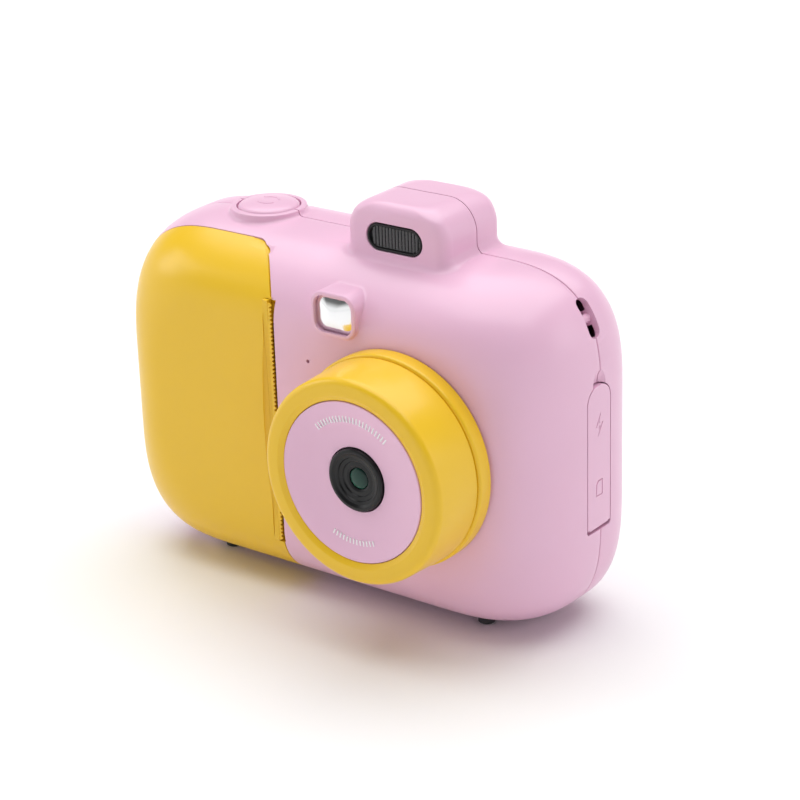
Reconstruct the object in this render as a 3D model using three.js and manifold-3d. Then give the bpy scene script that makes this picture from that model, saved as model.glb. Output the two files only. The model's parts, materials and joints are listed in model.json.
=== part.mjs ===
// Children's instant-print camera: pink casing halves, a yellow paper cover on the left of the lens,
// a yellow lens tube, a flash hump, a top shutter button and a full set of working parts inside.
// Millimetres, +Z up, front (lens side) towards -Y, +X to the right seen from the front.
// Pieces are laid out around the casing centre: x and z from the middle of the casing outline,
// y from the parting plane between the two casing halves. The outer group then stands the camera
// on its feet with the origin under the middle of its bounding box.
import * as THREE from 'three';
import Module from 'manifold-3d';
import { mergeVertices } from 'three/addons/utils/BufferGeometryUtils.js';

const wasm = await Module();
wasm.setup();

// ---------------------------------------------------------------- driving dimensions

const clearance = 0.3;
const seam = 0.3;
const runningFit = 0.1;
const wall = 2.0;

const casing = {
  halfWidth: 62.2,
  halfHeight: 42.2,
  cornerSize: 28.6,
  cornerPower: 3.0,
  cornerShrink: 0.32,
  frontDepth: 26.2,
  frontInset: 17.1,
  frontPower: 2.25,
  rearDepth: 18.9,
  rearFillet: 14.0,
};
const foot = { radius: 2.0, drop: 0.6, inset: 24.2, frontY: -10.8, rearY: 8.0, seat: 0.65 };
const hump = {
  centreX: 15.8,
  width: 27.6,
  rise: 11.9,
  frontY: -12.4,
  rearY: 10.0,
  corner: 7.5,
  round: 3.6,
};
const flash = {
  width: 15.4,
  height: 6.6,
  riseCentre: 4.0,
  windowThickness: 1.2,
  recess: 0.2,
  cupDepth: 4.0,
  cupWall: 0.7,
  ledWidth: 3.4,
  ledHeight: 2.8,
};
const mirror = {
  centreX: 9.2,
  drop: 10.6,
  width: 10.6,
  height: 8.6,
  rim: 0.9,
  proud: 0.9,
  corner: 2.6,
  seat: 1.4,
};
const lens = {
  x: 25.8,
  z: 1.4,
  length: 18.0,
  collarRadius: 25.1,
  collarLength: 4.3,
  ringRadius: 24.5,
  rimRadius: 23.9,
  tubeWall: 4.6,
  discRadius: 18.75,
  dish: 2.1,
  bezelRadius: 7.3,
  glassRadius: 2.4,
  barrelRadius: 6.5,
  cableRadius: 8.0,
  boardSize: 18.0,
  sensorSize: 8.0,
};
const cover = { edgeX: -9.0, seamDepth: 13.4, corner: 11.5, hingeRadius: 1.4, pinRadius: 0.6, knuckle: 4.0 };
const slot = {
  spare: 1.5,
  centreZ: 1.2,
  gap: 0.8,
  toothPitch: 1.5,
  toothDepth: 0.5,
  barWidth: 2.4,
  barThickness: 1.5,
};
const paper = { width: 57.0, rollRadius: 13.0, coreRadius: 6.0, coreWall: 1.0, centreY: -6.5 };
const platen = { radius: 4.0, shaftRadius: 1.5, depth: 16.5, sleeveSpare: 0.4, earThickness: 1.2 };
const gear = {
  module: 0.5,
  thickness: 2.2,
  platenTeeth: 16,
  idlerTeeth: 24,
  pinionTeeth: 10,
  axleRadius: 1.4,
  play: 0.12,
  plateGap: 0.4,
};
const motor = { radius: 6.0, length: 14.0, shaftRadius: 1.0, bearing: 50 };
const frameWall = 1.5;
const bay = { sideGap: 8.3, platenGap: 1.4, back: 7.2, spare: 0.7 };
const head = { thickness: 2.0, width: 7.5, spare: 0.5, backGap: 3.4, springLength: 30.0, springGauge: 0.3 };
const shutter = {
  x: -30.4,
  capRadius: 7.4,
  lip: 1.1,
  flange: 1.3,
  collarRadius: 9.1,
  collarRise: 1.4,
  domeRise: 1.0,
  switchGap: 2.8,
  springRadius: 2.5,
  springWire: 0.25,
};
const port = {
  top: 17.8,
  bottom: -17.4,
  centreY: -0.7,
  width: 9.4,
  flapThickness: 1.6,
  lowCorner: 0.6,
  hingeDepth: 0.9,
  pinRadius: 0.38,
  padMargin: 1.5,
  padDepth: 2.4,
};
const usb = { z: 8.0, length: 9.0, height: 3.2, depth: 7.4, wall: 0.35, tongue: 0.7 };
const card = {
  z: -6.5,
  length: 15.0,
  width: 11.0,
  thickness: 0.8,
  socketWidth: 14.0,
  socketHeight: 1.9,
};
const strap = {
  inset: 3.5,
  drop: 9.9,
  slant: 60.5,
  length: 9.6,
  width: 4.0,
  depth: 4.6,
  cupWall: 1.2,
  barRadius: 1.1,
  barDepth: 2.0,
};
const screen = {
  centreX: 14.0,
  width: 58.0,
  height: 44.0,
  corner: 3.0,
  seatDepth: 1.5,
  viewWidth: 49.0,
  viewHeight: 37.0,
  panelMargin: 2.5,
  panelThickness: 2.6,
};
const keypad = {
  x: -33.0,
  z: 6.0,
  outer: 11.6,
  inner: 5.2,
  okRadius: 4.6,
  travel: 0.7,
  proud: 0.8,
  lip: 0.9,
  lipThickness: 1.2,
  domeRadius: 2.0,
  domeHeight: 1.6,
};
const sideKey = { spread: 9.0, z: -12.5, radius: 3.4, lip: 0.8 };
const speaker = {
  x: -33.0,
  z: -22.6,
  radius: 5.4,
  thickness: 4.0,
  holeRadius: 0.6,
  holeRing: 2.6,
  holes: 6,
};
const screw = {
  insetX: 12.2,
  insetZ: 6.7,
  headRadius: 2.2,
  headHeight: 1.5,
  shankRadius: 1.0,
  bossRadius: 2.8,
  seatY: 9.0,
  length: 14.0,
};
const micHole = { x: 0.9, z: 18.8, radius: 0.45, capsuleRadius: 2.0, capsuleDepth: 1.6 };
const board = { left: 0.0, sideGap: 5.2, halfHeight: 23.0, thickness: 1.2, chipSize: 12.0, chipHeight: 1.0 };
const battery = { left: 8.0, right: 46.0, low: -24.0, high: 8.0, frontGap: 2.7, thickness: 6.0 };

const fullFront = casing.frontDepth + lens.length;
const fullRear = casing.rearDepth + keypad.proud;
const innerFrontY = -(casing.frontDepth - wall);
const innerRearY = casing.rearDepth - wall;

// ---------------------------------------------------------------- finishes

const finish = (color, roughness, metalness = 0) => ({ color, roughness, metalness });
const pinkPlastic = finish(0xf6cde6, 0.42);
const yellowPlastic = finish(0xf7cf45, 0.38);
const blackPlastic = finish(0x17171a, 0.35);
const greyPlastic = finish(0x5b5d63, 0.6);
const whiteGear = finish(0xe9e6da, 0.5);
const steel = finish(0xb9bcc2, 0.3, 1);
const chrome = finish(0xe6e8ea, 0.05, 1);
const rubber = finish(0x2c2c2e, 0.85);
const glass = finish(0x1c2a2c, 0.05);
const circuit = finish(0x1f6b3a, 0.55);
const paperWhite = finish(0xf4f2ec, 0.8);
const foil = finish(0x9fb4c9, 0.4, 0.6);

// ---------------------------------------------------------------- solids from geometries

/** A closed three.js geometry as a solid, turned the right way out. */
function solid(geometry) {
  const bare = geometry.index ? geometry.toNonIndexed() : geometry.clone();
  bare.deleteAttribute('normal');
  bare.deleteAttribute('uv');
  const merged = mergeVertices(bare, 1e-4);
  const places = merged.attributes.position.array;
  const corners = mergedTriangles(merged);
  if (signedVolume(places, corners) < 0) corners.reverse();
  const mesh = new wasm.Mesh({
    numProp: 3,
    vertProperties: new Float32Array(places),
    triVerts: new Uint32Array(corners),
  });
  return new wasm.Manifold(mesh);
}

/** The triangles of a merged geometry without the ones that a pole has shrunk to nothing. */
function mergedTriangles(geometry) {
  const index = geometry.index.array;
  const kept = [];
  for (let i = 0; i < index.length; i += 3) {
    const [a, b, c] = index.slice(i, i + 3);
    if (a !== b && b !== c && c !== a) kept.push(a, b, c);
  }
  return kept;
}

/** Six times the volume inside a triangle list; negative when the faces point inwards. */
function signedVolume(places, corners) {
  const [a, b, c] = [new THREE.Vector3(), new THREE.Vector3(), new THREE.Vector3()];
  let sum = 0;
  for (let i = 0; i < corners.length; i += 3) {
    a.fromArray(places, 3 * corners[i]);
    b.fromArray(places, 3 * corners[i + 1]);
    c.fromArray(places, 3 * corners[i + 2]);
    sum += a.dot(b.cross(c));
  }
  return sum;
}

/** A solid back as a three.js geometry. */
function geometryOf(body) {
  const mesh = body.getMesh();
  const geometry = new THREE.BufferGeometry();
  const places = new Float32Array(mesh.numVert * 3);
  for (let i = 0; i < mesh.numVert; i += 1) {
    for (let k = 0; k < 3; k += 1) places[3 * i + k] = mesh.vertProperties[i * mesh.numProp + k];
  }
  geometry.setAttribute('position', new THREE.BufferAttribute(places, 3));
  geometry.setIndex(new THREE.BufferAttribute(new Uint32Array(mesh.triVerts), 1));
  return geometry;
}

const join = (...bodies) => bodies.reduce((whole, body) => whole.add(body));
const cut = (body, ...tools) => tools.reduce((rest, tool) => rest.subtract(tool), body);

/** A box between two corners. */
function block([x0, y0, z0], [x1, y1, z1]) {
  const box = new THREE.BoxGeometry(x1 - x0, y1 - y0, z1 - z0);
  box.translate((x0 + x1) / 2, (y0 + y1) / 2, (z0 + z1) / 2);
  return solid(box);
}

/** A round bar along Y between two depths. */
function barY(x, z, radius, y0, y1, sides = 16) {
  const bar = new THREE.CylinderGeometry(radius, radius, y1 - y0, sides);
  bar.translate(x, (y0 + y1) / 2, z);
  return solid(bar);
}

/** A round bar along Z between two heights. */
function barZ(x, y, radius, z0, z1, sides = 20) {
  const bar = new THREE.CylinderGeometry(radius, radius, z1 - z0, sides);
  bar.rotateX(Math.PI / 2);
  bar.translate(x, y, (z0 + z1) / 2);
  return solid(bar);
}

/** A flat shape drawn in x and z, extruded along Y between two depths, with an optional rounded edge. */
function plateY(shape, y0, y1, round = 0, curveSegments = 4, bevelSegments = 2) {
  const plate = new THREE.ExtrudeGeometry(shape, {
    depth: y1 - y0 - 2 * round,
    curveSegments,
    bevelEnabled: round > 0,
    bevelSize: round,
    bevelOffset: -round,
    bevelThickness: round,
    bevelSegments,
  });
  plate.rotateX(Math.PI / 2);
  plate.translate(0, y1 - round, 0);
  return solid(plate);
}

/** A flat shape drawn in x and y, extruded along Z between two heights. */
function plateZ(shape, z0, z1, curveSegments = 4) {
  const plate = new THREE.ExtrudeGeometry(shape, { depth: z1 - z0, curveSegments, bevelEnabled: false });
  plate.translate(0, 0, z0);
  return solid(plate);
}

/** A flat shape drawn in y and z, extruded along X between two places. */
function plateX(shape, x0, x1, curveSegments = 4) {
  const plate = new THREE.ExtrudeGeometry(shape, { depth: x1 - x0, curveSegments, bevelEnabled: false });
  plate.rotateY(Math.PI / 2);
  plate.rotateX(Math.PI / 2);
  plate.translate(x0, 0, 0);
  return solid(plate);
}

/** A turned piece around an axis along Y: the profile is a list of [radius, y]. */
function turnedY(profile, x, z, segments = 40) {
  const lathe = new THREE.LatheGeometry(profile.map(([r, y]) => new THREE.Vector2(r, y)), segments);
  lathe.translate(x, 0, z);
  return solid(lathe);
}

/** A turned piece around an axis along Z: the profile is a list of [radius, z]. */
function turnedZ(profile, x, y, segments = 24) {
  const lathe = new THREE.LatheGeometry(profile.map(([r, z]) => new THREE.Vector2(r, z)), segments);
  lathe.rotateX(Math.PI / 2);
  lathe.translate(x, y, 0);
  return solid(lathe);
}

/** A ball, squashed by a scale along each axis. */
function ball([x, y, z], radius, [sx, sy, sz] = [1, 1, 1]) {
  const sphere = new THREE.SphereGeometry(radius, 12, 8);
  sphere.scale(sx, sy, sz);
  sphere.translate(x, y, z);
  return solid(sphere);
}

/** A rectangle with round corners around a centre. */
function roundedRectangle(cx, cy, width, height, corner) {
  const [x0, x1, y0, y1] = [cx - width / 2, cx + width / 2, cy - height / 2, cy + height / 2];
  const r = Math.min(corner, width / 2 - 0.01, height / 2 - 0.01);
  const shape = new THREE.Shape();
  shape.moveTo(x0 + r, y0);
  shape.lineTo(x1 - r, y0);
  shape.absarc(x1 - r, y0 + r, r, -Math.PI / 2, 0);
  shape.lineTo(x1, y1 - r);
  shape.absarc(x1 - r, y1 - r, r, 0, Math.PI / 2);
  shape.lineTo(x0 + r, y1);
  shape.absarc(x0 + r, y1 - r, r, Math.PI / 2, Math.PI);
  shape.lineTo(x0, y0 + r);
  shape.absarc(x0 + r, y0 + r, r, Math.PI, 1.5 * Math.PI);
  return shape;
}

// ---------------------------------------------------------------- casing form

/** How far the outline has drawn in at a depth in front of the parting plane. */
function frontInsetAt(depth, form = casing) {
  const share = Math.min(depth / form.frontDepth, 1);
  return form.frontInset * (1 - (1 - share ** form.frontPower) ** (1 / form.frontPower));
}

/** The casing sizes drawn in by a thickness, for the hollow inside. */
function shrunk(form, by) {
  return {
    ...form,
    halfWidth: form.halfWidth - by,
    halfHeight: form.halfHeight - by,
    cornerSize: form.cornerSize - by,
    frontDepth: form.frontDepth - by,
    frontInset: form.frontInset - by,
    rearDepth: form.rearDepth - by,
    rearFillet: form.rearFillet - by,
  };
}

/** The points of the casing outline at an inset: straight sides and full corners in even steps. */
function outlineRing(form, inset, y, steps) {
  const size = form.cornerSize - inset * form.cornerShrink;
  const [cx, cz] = [form.halfWidth - inset - size, form.halfHeight - inset - size];
  const ring = [];
  for (let quarter = 0; quarter < 4; quarter += 1) {
    for (let i = 0; i <= steps; i += 1) {
      const turn = (quarter + i / steps) * (Math.PI / 2);
      const [c, s] = [Math.cos(turn), Math.sin(turn)];
      const x = Math.sign(c) * Math.abs(c) ** (2 / form.cornerPower) * size;
      const z = Math.sign(s) * Math.abs(s) ** (2 / form.cornerPower) * size;
      const [sideX, sideZ] = [quarter === 0 || quarter === 3 ? cx : -cx, quarter < 2 ? cz : -cz];
      ring.push(new THREE.Vector3(x + sideX, y, z + sideZ));
    }
  }
  return ring;
}

/** The rings of the whole casing from its back face to its front face, in steps for each stretch. */
function casingRings(form, { corner, rear, front }) {
  const rings = [];
  for (let i = rear; i > 0; i -= 1) {
    const turn = (i / rear) * (Math.PI / 2);
    const y = form.rearDepth - form.rearFillet * (1 - Math.sin(turn));
    rings.push(outlineRing(form, form.rearFillet * (1 - Math.cos(turn)), y, corner));
  }
  rings.push(outlineRing(form, 0, form.rearDepth - form.rearFillet, corner));
  for (let i = 0; i <= front; i += 1) {
    const turn = (i / front) * (Math.PI / 2);
    const y = -form.frontDepth * Math.sin(turn) ** (2 / form.frontPower);
    const inset = form.frontInset * (1 - Math.max(Math.cos(turn), 0) ** (2 / form.frontPower));
    rings.push(outlineRing(form, inset, y, corner));
  }
  return rings;
}

/** A closed solid through a row of rings of equal length, with a flat cap on each end. */
function loft(rings) {
  const count = rings[0].length;
  const middle = (ring) => ring.reduce((sum, p) => sum.add(p), new THREE.Vector3()).divideScalar(count);
  const points = [...rings.flat(), middle(rings[0]), middle(rings[rings.length - 1])];
  const index = [];
  const last = (rings.length - 1) * count;
  for (let j = 0; j < count; j += 1) {
    const next = (j + 1) % count;
    for (let i = 0; i + 1 < rings.length; i += 1) {
      const [a, b, c, d] = [i * count + j, i * count + next, (i + 1) * count + j, (i + 1) * count + next];
      index.push(a, c, b, b, c, d);
    }
    index.push(rings.length * count, j, next);
    index.push(rings.length * count + 1, last + next, last + j);
  }
  const geometry = new THREE.BufferGeometry().setFromPoints(points);
  geometry.setIndex(index);
  return solid(geometry);
}

const outerForm = loft(casingRings(casing, { corner: 6, rear: 4, front: 6 }));
const innerSteps = { corner: 4, rear: 3, front: 4 };
const innerForm = loft(casingRings(shrunk(casing, wall), innerSteps));
const frameSpace = loft(casingRings(shrunk(casing, wall + clearance), innerSteps));

// ---------------------------------------------------------------- shared places

const far = 200;
const slotLength = paper.width + 2 * slot.spare;
const slotLow = slot.centreZ - slotLength / 2;
const slotHigh = slot.centreZ + slotLength / 2;
const humpTop = casing.halfHeight + hump.rise;
const flashZ = casing.halfHeight + flash.riseCentre;
const collarTop = casing.halfHeight + shutter.collarRise;
const innerTop = casing.halfHeight - wall;
const mirrorZ = casing.halfHeight - mirror.drop;
const mirrorFrontY = -casing.frontDepth - mirror.proud;
const mirrorBackY = mirrorFrontY + mirror.seat;
const seamInset = frontInsetAt(cover.seamDepth);
const hingeX = -(casing.halfWidth - seamInset);
const hingeY = -cover.seamDepth;
const platenX = cover.edgeX - platen.radius - runningFit;
const platenY = -platen.depth;
const bayLow = slot.centreZ - paper.width / 2 - bay.spare;
const bayHigh = slot.centreZ + paper.width / 2 + bay.spare;
const bayLeft = -(casing.halfWidth - wall - bay.sideGap);
const bayRight = platenX - platen.radius - frameWall - bay.platenGap;
const rollX = bayLeft + clearance + paper.rollRadius;
const gearTop = bayLow - frameWall - gear.plateGap;
const gearLow = gearTop - gear.thickness;
const flapAxisX = casing.halfWidth - port.hingeDepth;
const flapAxisZ = port.bottom + port.hingeDepth + clearance;
const keyBackY = innerRearY - clearance - keypad.lipThickness;
const strapX = casing.halfWidth - strap.inset;
const strapZ = casing.halfHeight - strap.drop;
const strapSlant = (strap.slant * Math.PI) / 180;
const strapBarX = strapX - strap.barDepth * Math.sin(strapSlant);
const strapBarZ = strapZ - strap.barDepth * Math.cos(strapSlant);

/** The space on the front side of the parting plane, less half the seam. */
const frontSpace = () => block([-far, -far, -far], [far, -seam / 2, far]);

/** The space on the rear side of the parting plane, less half the seam. */
const rearSpace = () => block([-far, seam / 2, -far], [far, far, far]);

/** The space of the paper cover: left of its free edge, in front of its seam, one upper corner round. */
function coverSpace(grow) {
  const edge = cover.edgeX + grow;
  const top = casing.halfHeight - seamInset + grow;
  const shape = new THREE.Shape();
  shape.moveTo(-far, -far);
  shape.lineTo(edge, -far);
  shape.lineTo(edge, top - cover.corner);
  shape.absarc(edge - cover.corner, top - cover.corner, cover.corner, 0, Math.PI / 2);
  shape.lineTo(edge - cover.corner, far);
  shape.lineTo(-far, far);
  return plateY(shape, -far, -cover.seamDepth + grow, 0, 8);
}

// ---------------------------------------------------------------- casing halves

/** The flash hump on top, as a solid drawn in by a thickness. */
function humpForm(by) {
  const [low, high] = [casing.halfHeight - 2 * wall, humpTop - by];
  const half = hump.width / 2 - by;
  const corner = hump.corner - by;
  const shape = new THREE.Shape();
  shape.moveTo(hump.centreX - half, low);
  shape.lineTo(hump.centreX + half, low);
  shape.lineTo(hump.centreX + half, high - corner);
  shape.absarc(hump.centreX + half - corner, high - corner, corner, 0, Math.PI / 2);
  shape.lineTo(hump.centreX - half + corner, high);
  shape.absarc(hump.centreX - half + corner, high - corner, corner, Math.PI / 2, Math.PI);
  return plateY(shape, hump.frontY + by, hump.rearY - by, hump.round - by / 2, 4, by > 0 ? 1 : 3);
}

/** The raised collar round the shutter button, flared into the casing top. */
function collarForm() {
  const profile = [
    [0, innerTop],
    [shutter.collarRadius + 1.6, innerTop],
    [shutter.collarRadius + 1.6, casing.halfHeight - 0.6],
    [shutter.collarRadius + 0.4, casing.halfHeight + 0.3],
    [shutter.collarRadius, collarTop - 0.3],
    [shutter.collarRadius - 0.4, collarTop],
    [0, collarTop],
  ];
  return turnedZ(profile, shutter.x, 0);
}

/** The raised frame that holds the front mirror. */
function mirrorFrame() {
  const [width, height] = [mirror.width + 2 * mirror.rim, mirror.height + 2 * mirror.rim];
  const shape = roundedRectangle(mirror.centreX, mirrorZ, width, height, mirror.corner + mirror.rim);
  return plateY(shape, mirrorFrontY, mirrorFrontY + mirror.height + 2 * mirror.rim, 0.5, 4, 1);
}

/** The inner pad that carries the port recess on the right side. */
function portPad() {
  const inside = casing.halfWidth - wall;
  const [low, high] = [port.bottom - port.padMargin, port.top + port.padMargin];
  const reach = port.width / 2 + port.padMargin;
  const [front, rear] = [port.centreY - reach, port.centreY + reach];
  return block([inside - port.padDepth, front, low], [inside + 0.5, rear, high]);
}

/** The outline of the port recess, grown or shrunk all round: a round top and a nearly square foot. */
function portShape(grow) {
  const [low, high] = [port.bottom - grow, port.top + grow];
  const half = port.width / 2 + grow;
  const [front, rear] = [port.centreY - half, port.centreY + half];
  const [r, top] = [port.lowCorner, half - 0.6];
  const shape = new THREE.Shape();
  shape.moveTo(front + r, low);
  shape.lineTo(rear - r, low);
  shape.absarc(rear - r, low + r, r, -Math.PI / 2, 0);
  shape.lineTo(rear, high - top);
  shape.absarc(rear - top, high - top, top, 0, Math.PI / 2);
  shape.lineTo(front + top, high);
  shape.absarc(front + top, high - top, top, Math.PI / 2, Math.PI);
  shape.lineTo(front, low + r);
  shape.absarc(front + r, low + r, r, Math.PI, 1.5 * Math.PI);
  return shape;
}

/** The shell of both halves with everything that stands on it, before it is parted and cut. */
function wholeShell() {
  const hollow = join(innerForm, humpForm(wall)).subtract(portPad());
  return cut(join(outerForm, humpForm(0), collarForm(), mirrorFrame()), hollow);
}

/** A screw pillar between two depths, kept inside the casing's outer surface. */
function pillar(x, z, y0, y1) {
  return barY(x, z, screw.bossRadius, y0, y1, 12).intersect(outerForm);
}

/** The four screw places. */
const screwPlaces = [-1, 1].flatMap((sx) =>
  [-1, 1].map((sz) => [sx * (casing.halfWidth - screw.insetX), sz * (casing.halfHeight - screw.insetZ)]),
);

/** The two round keys below the arrow keys, as [x, z]. */
const sideKeyPlaces = [1, -1].map((side) => [keypad.x + side * sideKey.spread, sideKey.z]);

/** The four foot places as [x, y]. */
const footPlaces = [-1, 1].flatMap((sx) =>
  [foot.frontY, foot.rearY].map((y) => [sx * (casing.halfWidth - foot.inset), y]),
);

/** The height of the underside of the casing at a depth from the parting plane. */
function undersideAt(y) {
  if (y < 0) return -casing.halfHeight + frontInsetAt(-y);
  const past = Math.max(y - (casing.rearDepth - casing.rearFillet), 0);
  return -casing.halfHeight + casing.rearFillet - Math.sqrt(casing.rearFillet ** 2 - past ** 2);
}

/** The pocket that a foot sits in. */
function footPocket([x, y]) {
  const low = -casing.halfHeight - foot.drop - 1;
  return barZ(x, y, foot.radius + clearance, low, undersideAt(y) + foot.seat, 12);
}

/** The strap pocket at the upper right corner, open to the outside. */
function strapPocket() {
  const shape = roundedRectangle(0, 0, strap.length, strap.width, 1.8);
  const pocket = new THREE.ExtrudeGeometry(shape, { depth: far / 10, curveSegments: 4, bevelEnabled: false });
  pocket.translate(0, 0, -strap.depth);
  return pocketPlaced(pocket);
}

/** A geometry drawn along x with its depth along z, laid on the slanting corner of the casing. */
function pocketPlaced(geometry) {
  const tangent = new THREE.Vector3(-Math.cos(strapSlant), 0, Math.sin(strapSlant));
  const normal = new THREE.Vector3(Math.sin(strapSlant), 0, Math.cos(strapSlant));
  const across = new THREE.Vector3().crossVectors(normal, tangent);
  const frame = new THREE.Matrix4().makeBasis(tangent, across, normal);
  frame.setPosition(strapX, 0, strapZ);
  geometry.applyMatrix4(frame);
  return solid(geometry);
}

/** The wall that closes the strap pocket inside the casing. */
function strapCup() {
  const [length, width] = [strap.length + 2 * strap.cupWall, strap.width + 2 * strap.cupWall];
  const shape = roundedRectangle(0, 0, length, width, 2 * strap.cupWall);
  const settings = { depth: strap.depth + 2, curveSegments: 4, bevelEnabled: false };
  const cup = new THREE.ExtrudeGeometry(shape, settings);
  cup.translate(0, 0, -strap.depth - strap.cupWall);
  return pocketPlaced(cup).intersect(outerForm);
}

/** One hinge knuckle's height range; knuckles are counted from the bottom one. */
function knuckleRange(i) {
  const pitch = cover.knuckle + clearance;
  const low = -2.5 * pitch + clearance / 2 + i * pitch;
  return [low, low + cover.knuckle];
}

/** The knuckles of one leaf of the cover hinge, as solid barrels. */
function knuckles(ids, radius, grow = 0) {
  return join(
    ...ids.map((i) => {
      const [low, high] = knuckleRange(i);
      return barZ(hingeX, hingeY, radius, low - grow, high + grow, 16);
    }),
  );
}

const coverKnuckles = [0, 2, 4];
const casingKnuckles = [1, 3];
const hingeBore = () => {
  const reach = 2.5 * (cover.knuckle + clearance) + 1;
  return barZ(hingeX, hingeY, cover.pinRadius + runningFit, -reach, reach, 16);
};

/** The bore of the flap hinge, reaching a length to both sides of the middle of the flap. */
function flapBore(reach) {
  const radius = port.pinRadius + runningFit;
  return barY(flapAxisX, flapAxisZ, radius, port.centreY - reach, port.centreY + reach, 12);
}

/** The recess, windows and hinge bore of the port flap, as one cutting tool. */
function portCut() {
  const recess = plateX(portShape(0), casing.halfWidth - port.flapThickness - clearance, far);
  const scoop = ball([casing.halfWidth + 0.4, port.centreY, port.top + 1.2], 1.9, [0.7, 1, 1]);
  const usbShape = roundedRectangle(port.centreY, usb.z, usb.height + 0.6, usb.length + 0.6, 1.8);
  const cardShape = roundedRectangle(port.centreY, card.z, card.socketHeight, card.width + 1, 0.4);
  const behind = casing.halfWidth - wall - port.padDepth - 2;
  const windows = join(plateX(usbShape, behind, far), plateX(cardShape, behind, far));
  return join(recess, scoop, windows, flapBore(port.width / 2 + 1));
}

/** Holes that both halves share because they lie across the parting plane. */
function sharedCuts(whole) {
  const buttonHole = barZ(shutter.x, 0, shutter.capRadius + clearance, innerTop - 1, far);
  const lipSeat = barZ(shutter.x, 0, shutter.capRadius + shutter.lip + clearance, innerTop - 4, innerTop);
  const reach = strap.width / 2 + 1.6;
  const barHole = barY(strapBarX, strapBarZ, strap.barRadius + runningFit, -reach, reach, 16);
  return cut(whole, buttonHole, lipSeat, portCut(), strapPocket(), barHole, ...footPlaces.map(footPocket));
}

const shell = sharedCuts(join(wholeShell(), strapCup()));
const frontPillarDepth = cover.seamDepth - 1.4;

/** The openings of the front half: flash, mirror seat, lens cable, microphone, paper slot and thumb notch. */
function frontOpenings() {
  const flashShape = roundedRectangle(hump.centreX, flashZ, flash.width, flash.height, flash.height / 2);
  const mirrorShape = roundedRectangle(mirror.centreX, mirrorZ, mirror.width, mirror.height, mirror.corner);
  const slotRight = cover.edgeX + slot.gap / 2;
  return [
    plateY(flashShape, -far, hump.frontY + wall + 1, 0, 8),
    plateY(mirrorShape, -far, mirrorBackY, 0, 5),
    barY(lens.x, lens.z, lens.cableRadius, -far, innerFrontY + 1),
    barY(micHole.x, micHole.z, micHole.radius, -far, innerFrontY + 1, 8),
    block([cover.edgeX - 1, -far, slotLow], [slotRight, innerFrontY + 1, slotHigh]),
    ball([cover.edgeX - 3.4, 4.6 - casing.frontDepth, casing.halfHeight - 0.6], 3.6),
  ];
}

/** Front casing half: everything ahead of the parting plane except the cover's share. */
function frontCasing() {
  const pillars = screwPlaces.map(([x, z]) => pillar(x, z, -frontPillarDepth, -seam));
  const pilotRadius = screw.shankRadius + runningFit;
  const pilots = screwPlaces.map(([x, z]) => barY(x, z, pilotRadius, -screw.length, 1, 12));
  const half = join(shell, ...pillars).intersect(frontSpace());
  const opened = cut(half, coverSpace(seam / 2), ...frontOpenings(), ...pilots);
  const leaf = knuckles(casingKnuckles, cover.hingeRadius).subtract(innerForm);
  const turning = knuckles(coverKnuckles, cover.hingeRadius + clearance, clearance);
  return cut(join(opened, leaf), turning, hingeBore());
}

/** The openings of the rear half: screen window, keys, speaker grille and screw seats. */
function rearOpenings() {
  const view = roundedRectangle(screen.centreX, 0, screen.viewWidth, screen.viewHeight, 1);
  const seat = roundedRectangle(screen.centreX, 0, screen.width, screen.height, screen.corner);
  const pad = barY(keypad.x, keypad.z, keypad.outer + clearance, innerRearY - 1, far, 24);
  const grille = [];
  for (let i = 0; i < speaker.holes; i += 1) {
    const turn = (2 * Math.PI * i) / speaker.holes;
    const x = speaker.x + speaker.holeRing * Math.cos(turn);
    const z = speaker.z + speaker.holeRing * Math.sin(turn);
    grille.push(barY(x, z, speaker.holeRadius, innerRearY - 1, far, 6));
  }
  return [
    plateY(view, innerRearY - 1, far),
    plateY(seat, casing.rearDepth - screen.seatDepth, far),
    pad,
    ...sideKeyPlaces.map(([x, z]) => barY(x, z, sideKey.radius + clearance, innerRearY - 1, far)),
    barY(speaker.x, speaker.z, speaker.holeRadius, innerRearY - 1, far, 6),
    ...grille,
    ...screwPlaces.map(([x, z]) => barY(x, z, screw.headRadius + clearance, screw.seatY, far)),
    ...screwPlaces.map(([x, z]) => barY(x, z, screw.shankRadius + clearance, -1, far, 16)),
  ];
}

/** Rear casing half: everything behind the parting plane, with screw pillars. */
function rearCasing() {
  const pillars = screwPlaces.map(([x, z]) => pillar(x, z, seam / 2, casing.rearDepth));
  return cut(join(shell, ...pillars).intersect(rearSpace()), ...rearOpenings());
}

// ---------------------------------------------------------------- lens

const casingFrontY = -casing.frontDepth;
const lensFrontY = -fullFront;

/** A ring turned around the lens axis. */
const lensTurned = (profile, segments = 32) => turnedY(profile, lens.x, lens.z, segments);

/** Rear, wider part of the yellow lens tube, against the casing front. */
function lensCollar() {
  const [back, front] = [casingFrontY - clearance, casingFrontY - lens.collarLength];
  const inner = lens.ringRadius - lens.tubeWall;
  const outer = lens.collarRadius;
  return lensTurned([
    [inner, back],
    [outer, back],
    [outer, front + 0.5],
    [outer - 0.5, front],
    [inner, front],
    [inner, back],
  ]);
}

/** Front part of the yellow lens tube, with a rounded rim and a bevel down to the disc. */
function lensRing() {
  const back = casingFrontY - lens.collarLength - clearance;
  const bore = lens.ringRadius - lens.tubeWall - 1.6;
  const seat = lens.discRadius + clearance;
  return lensTurned([
    [bore, back],
    [lens.ringRadius, back],
    [lens.rimRadius, lensFrontY + 2.2],
    [lens.rimRadius - 0.6, lensFrontY + 0.7],
    [lens.rimRadius - 1.9, lensFrontY],
    [seat + 1.3, lensFrontY],
    [seat, lensFrontY + 0.9],
    [seat, lensFrontY + 3.0],
    [bore, lensFrontY + 3.0],
    [bore, back],
  ]);
}

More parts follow.
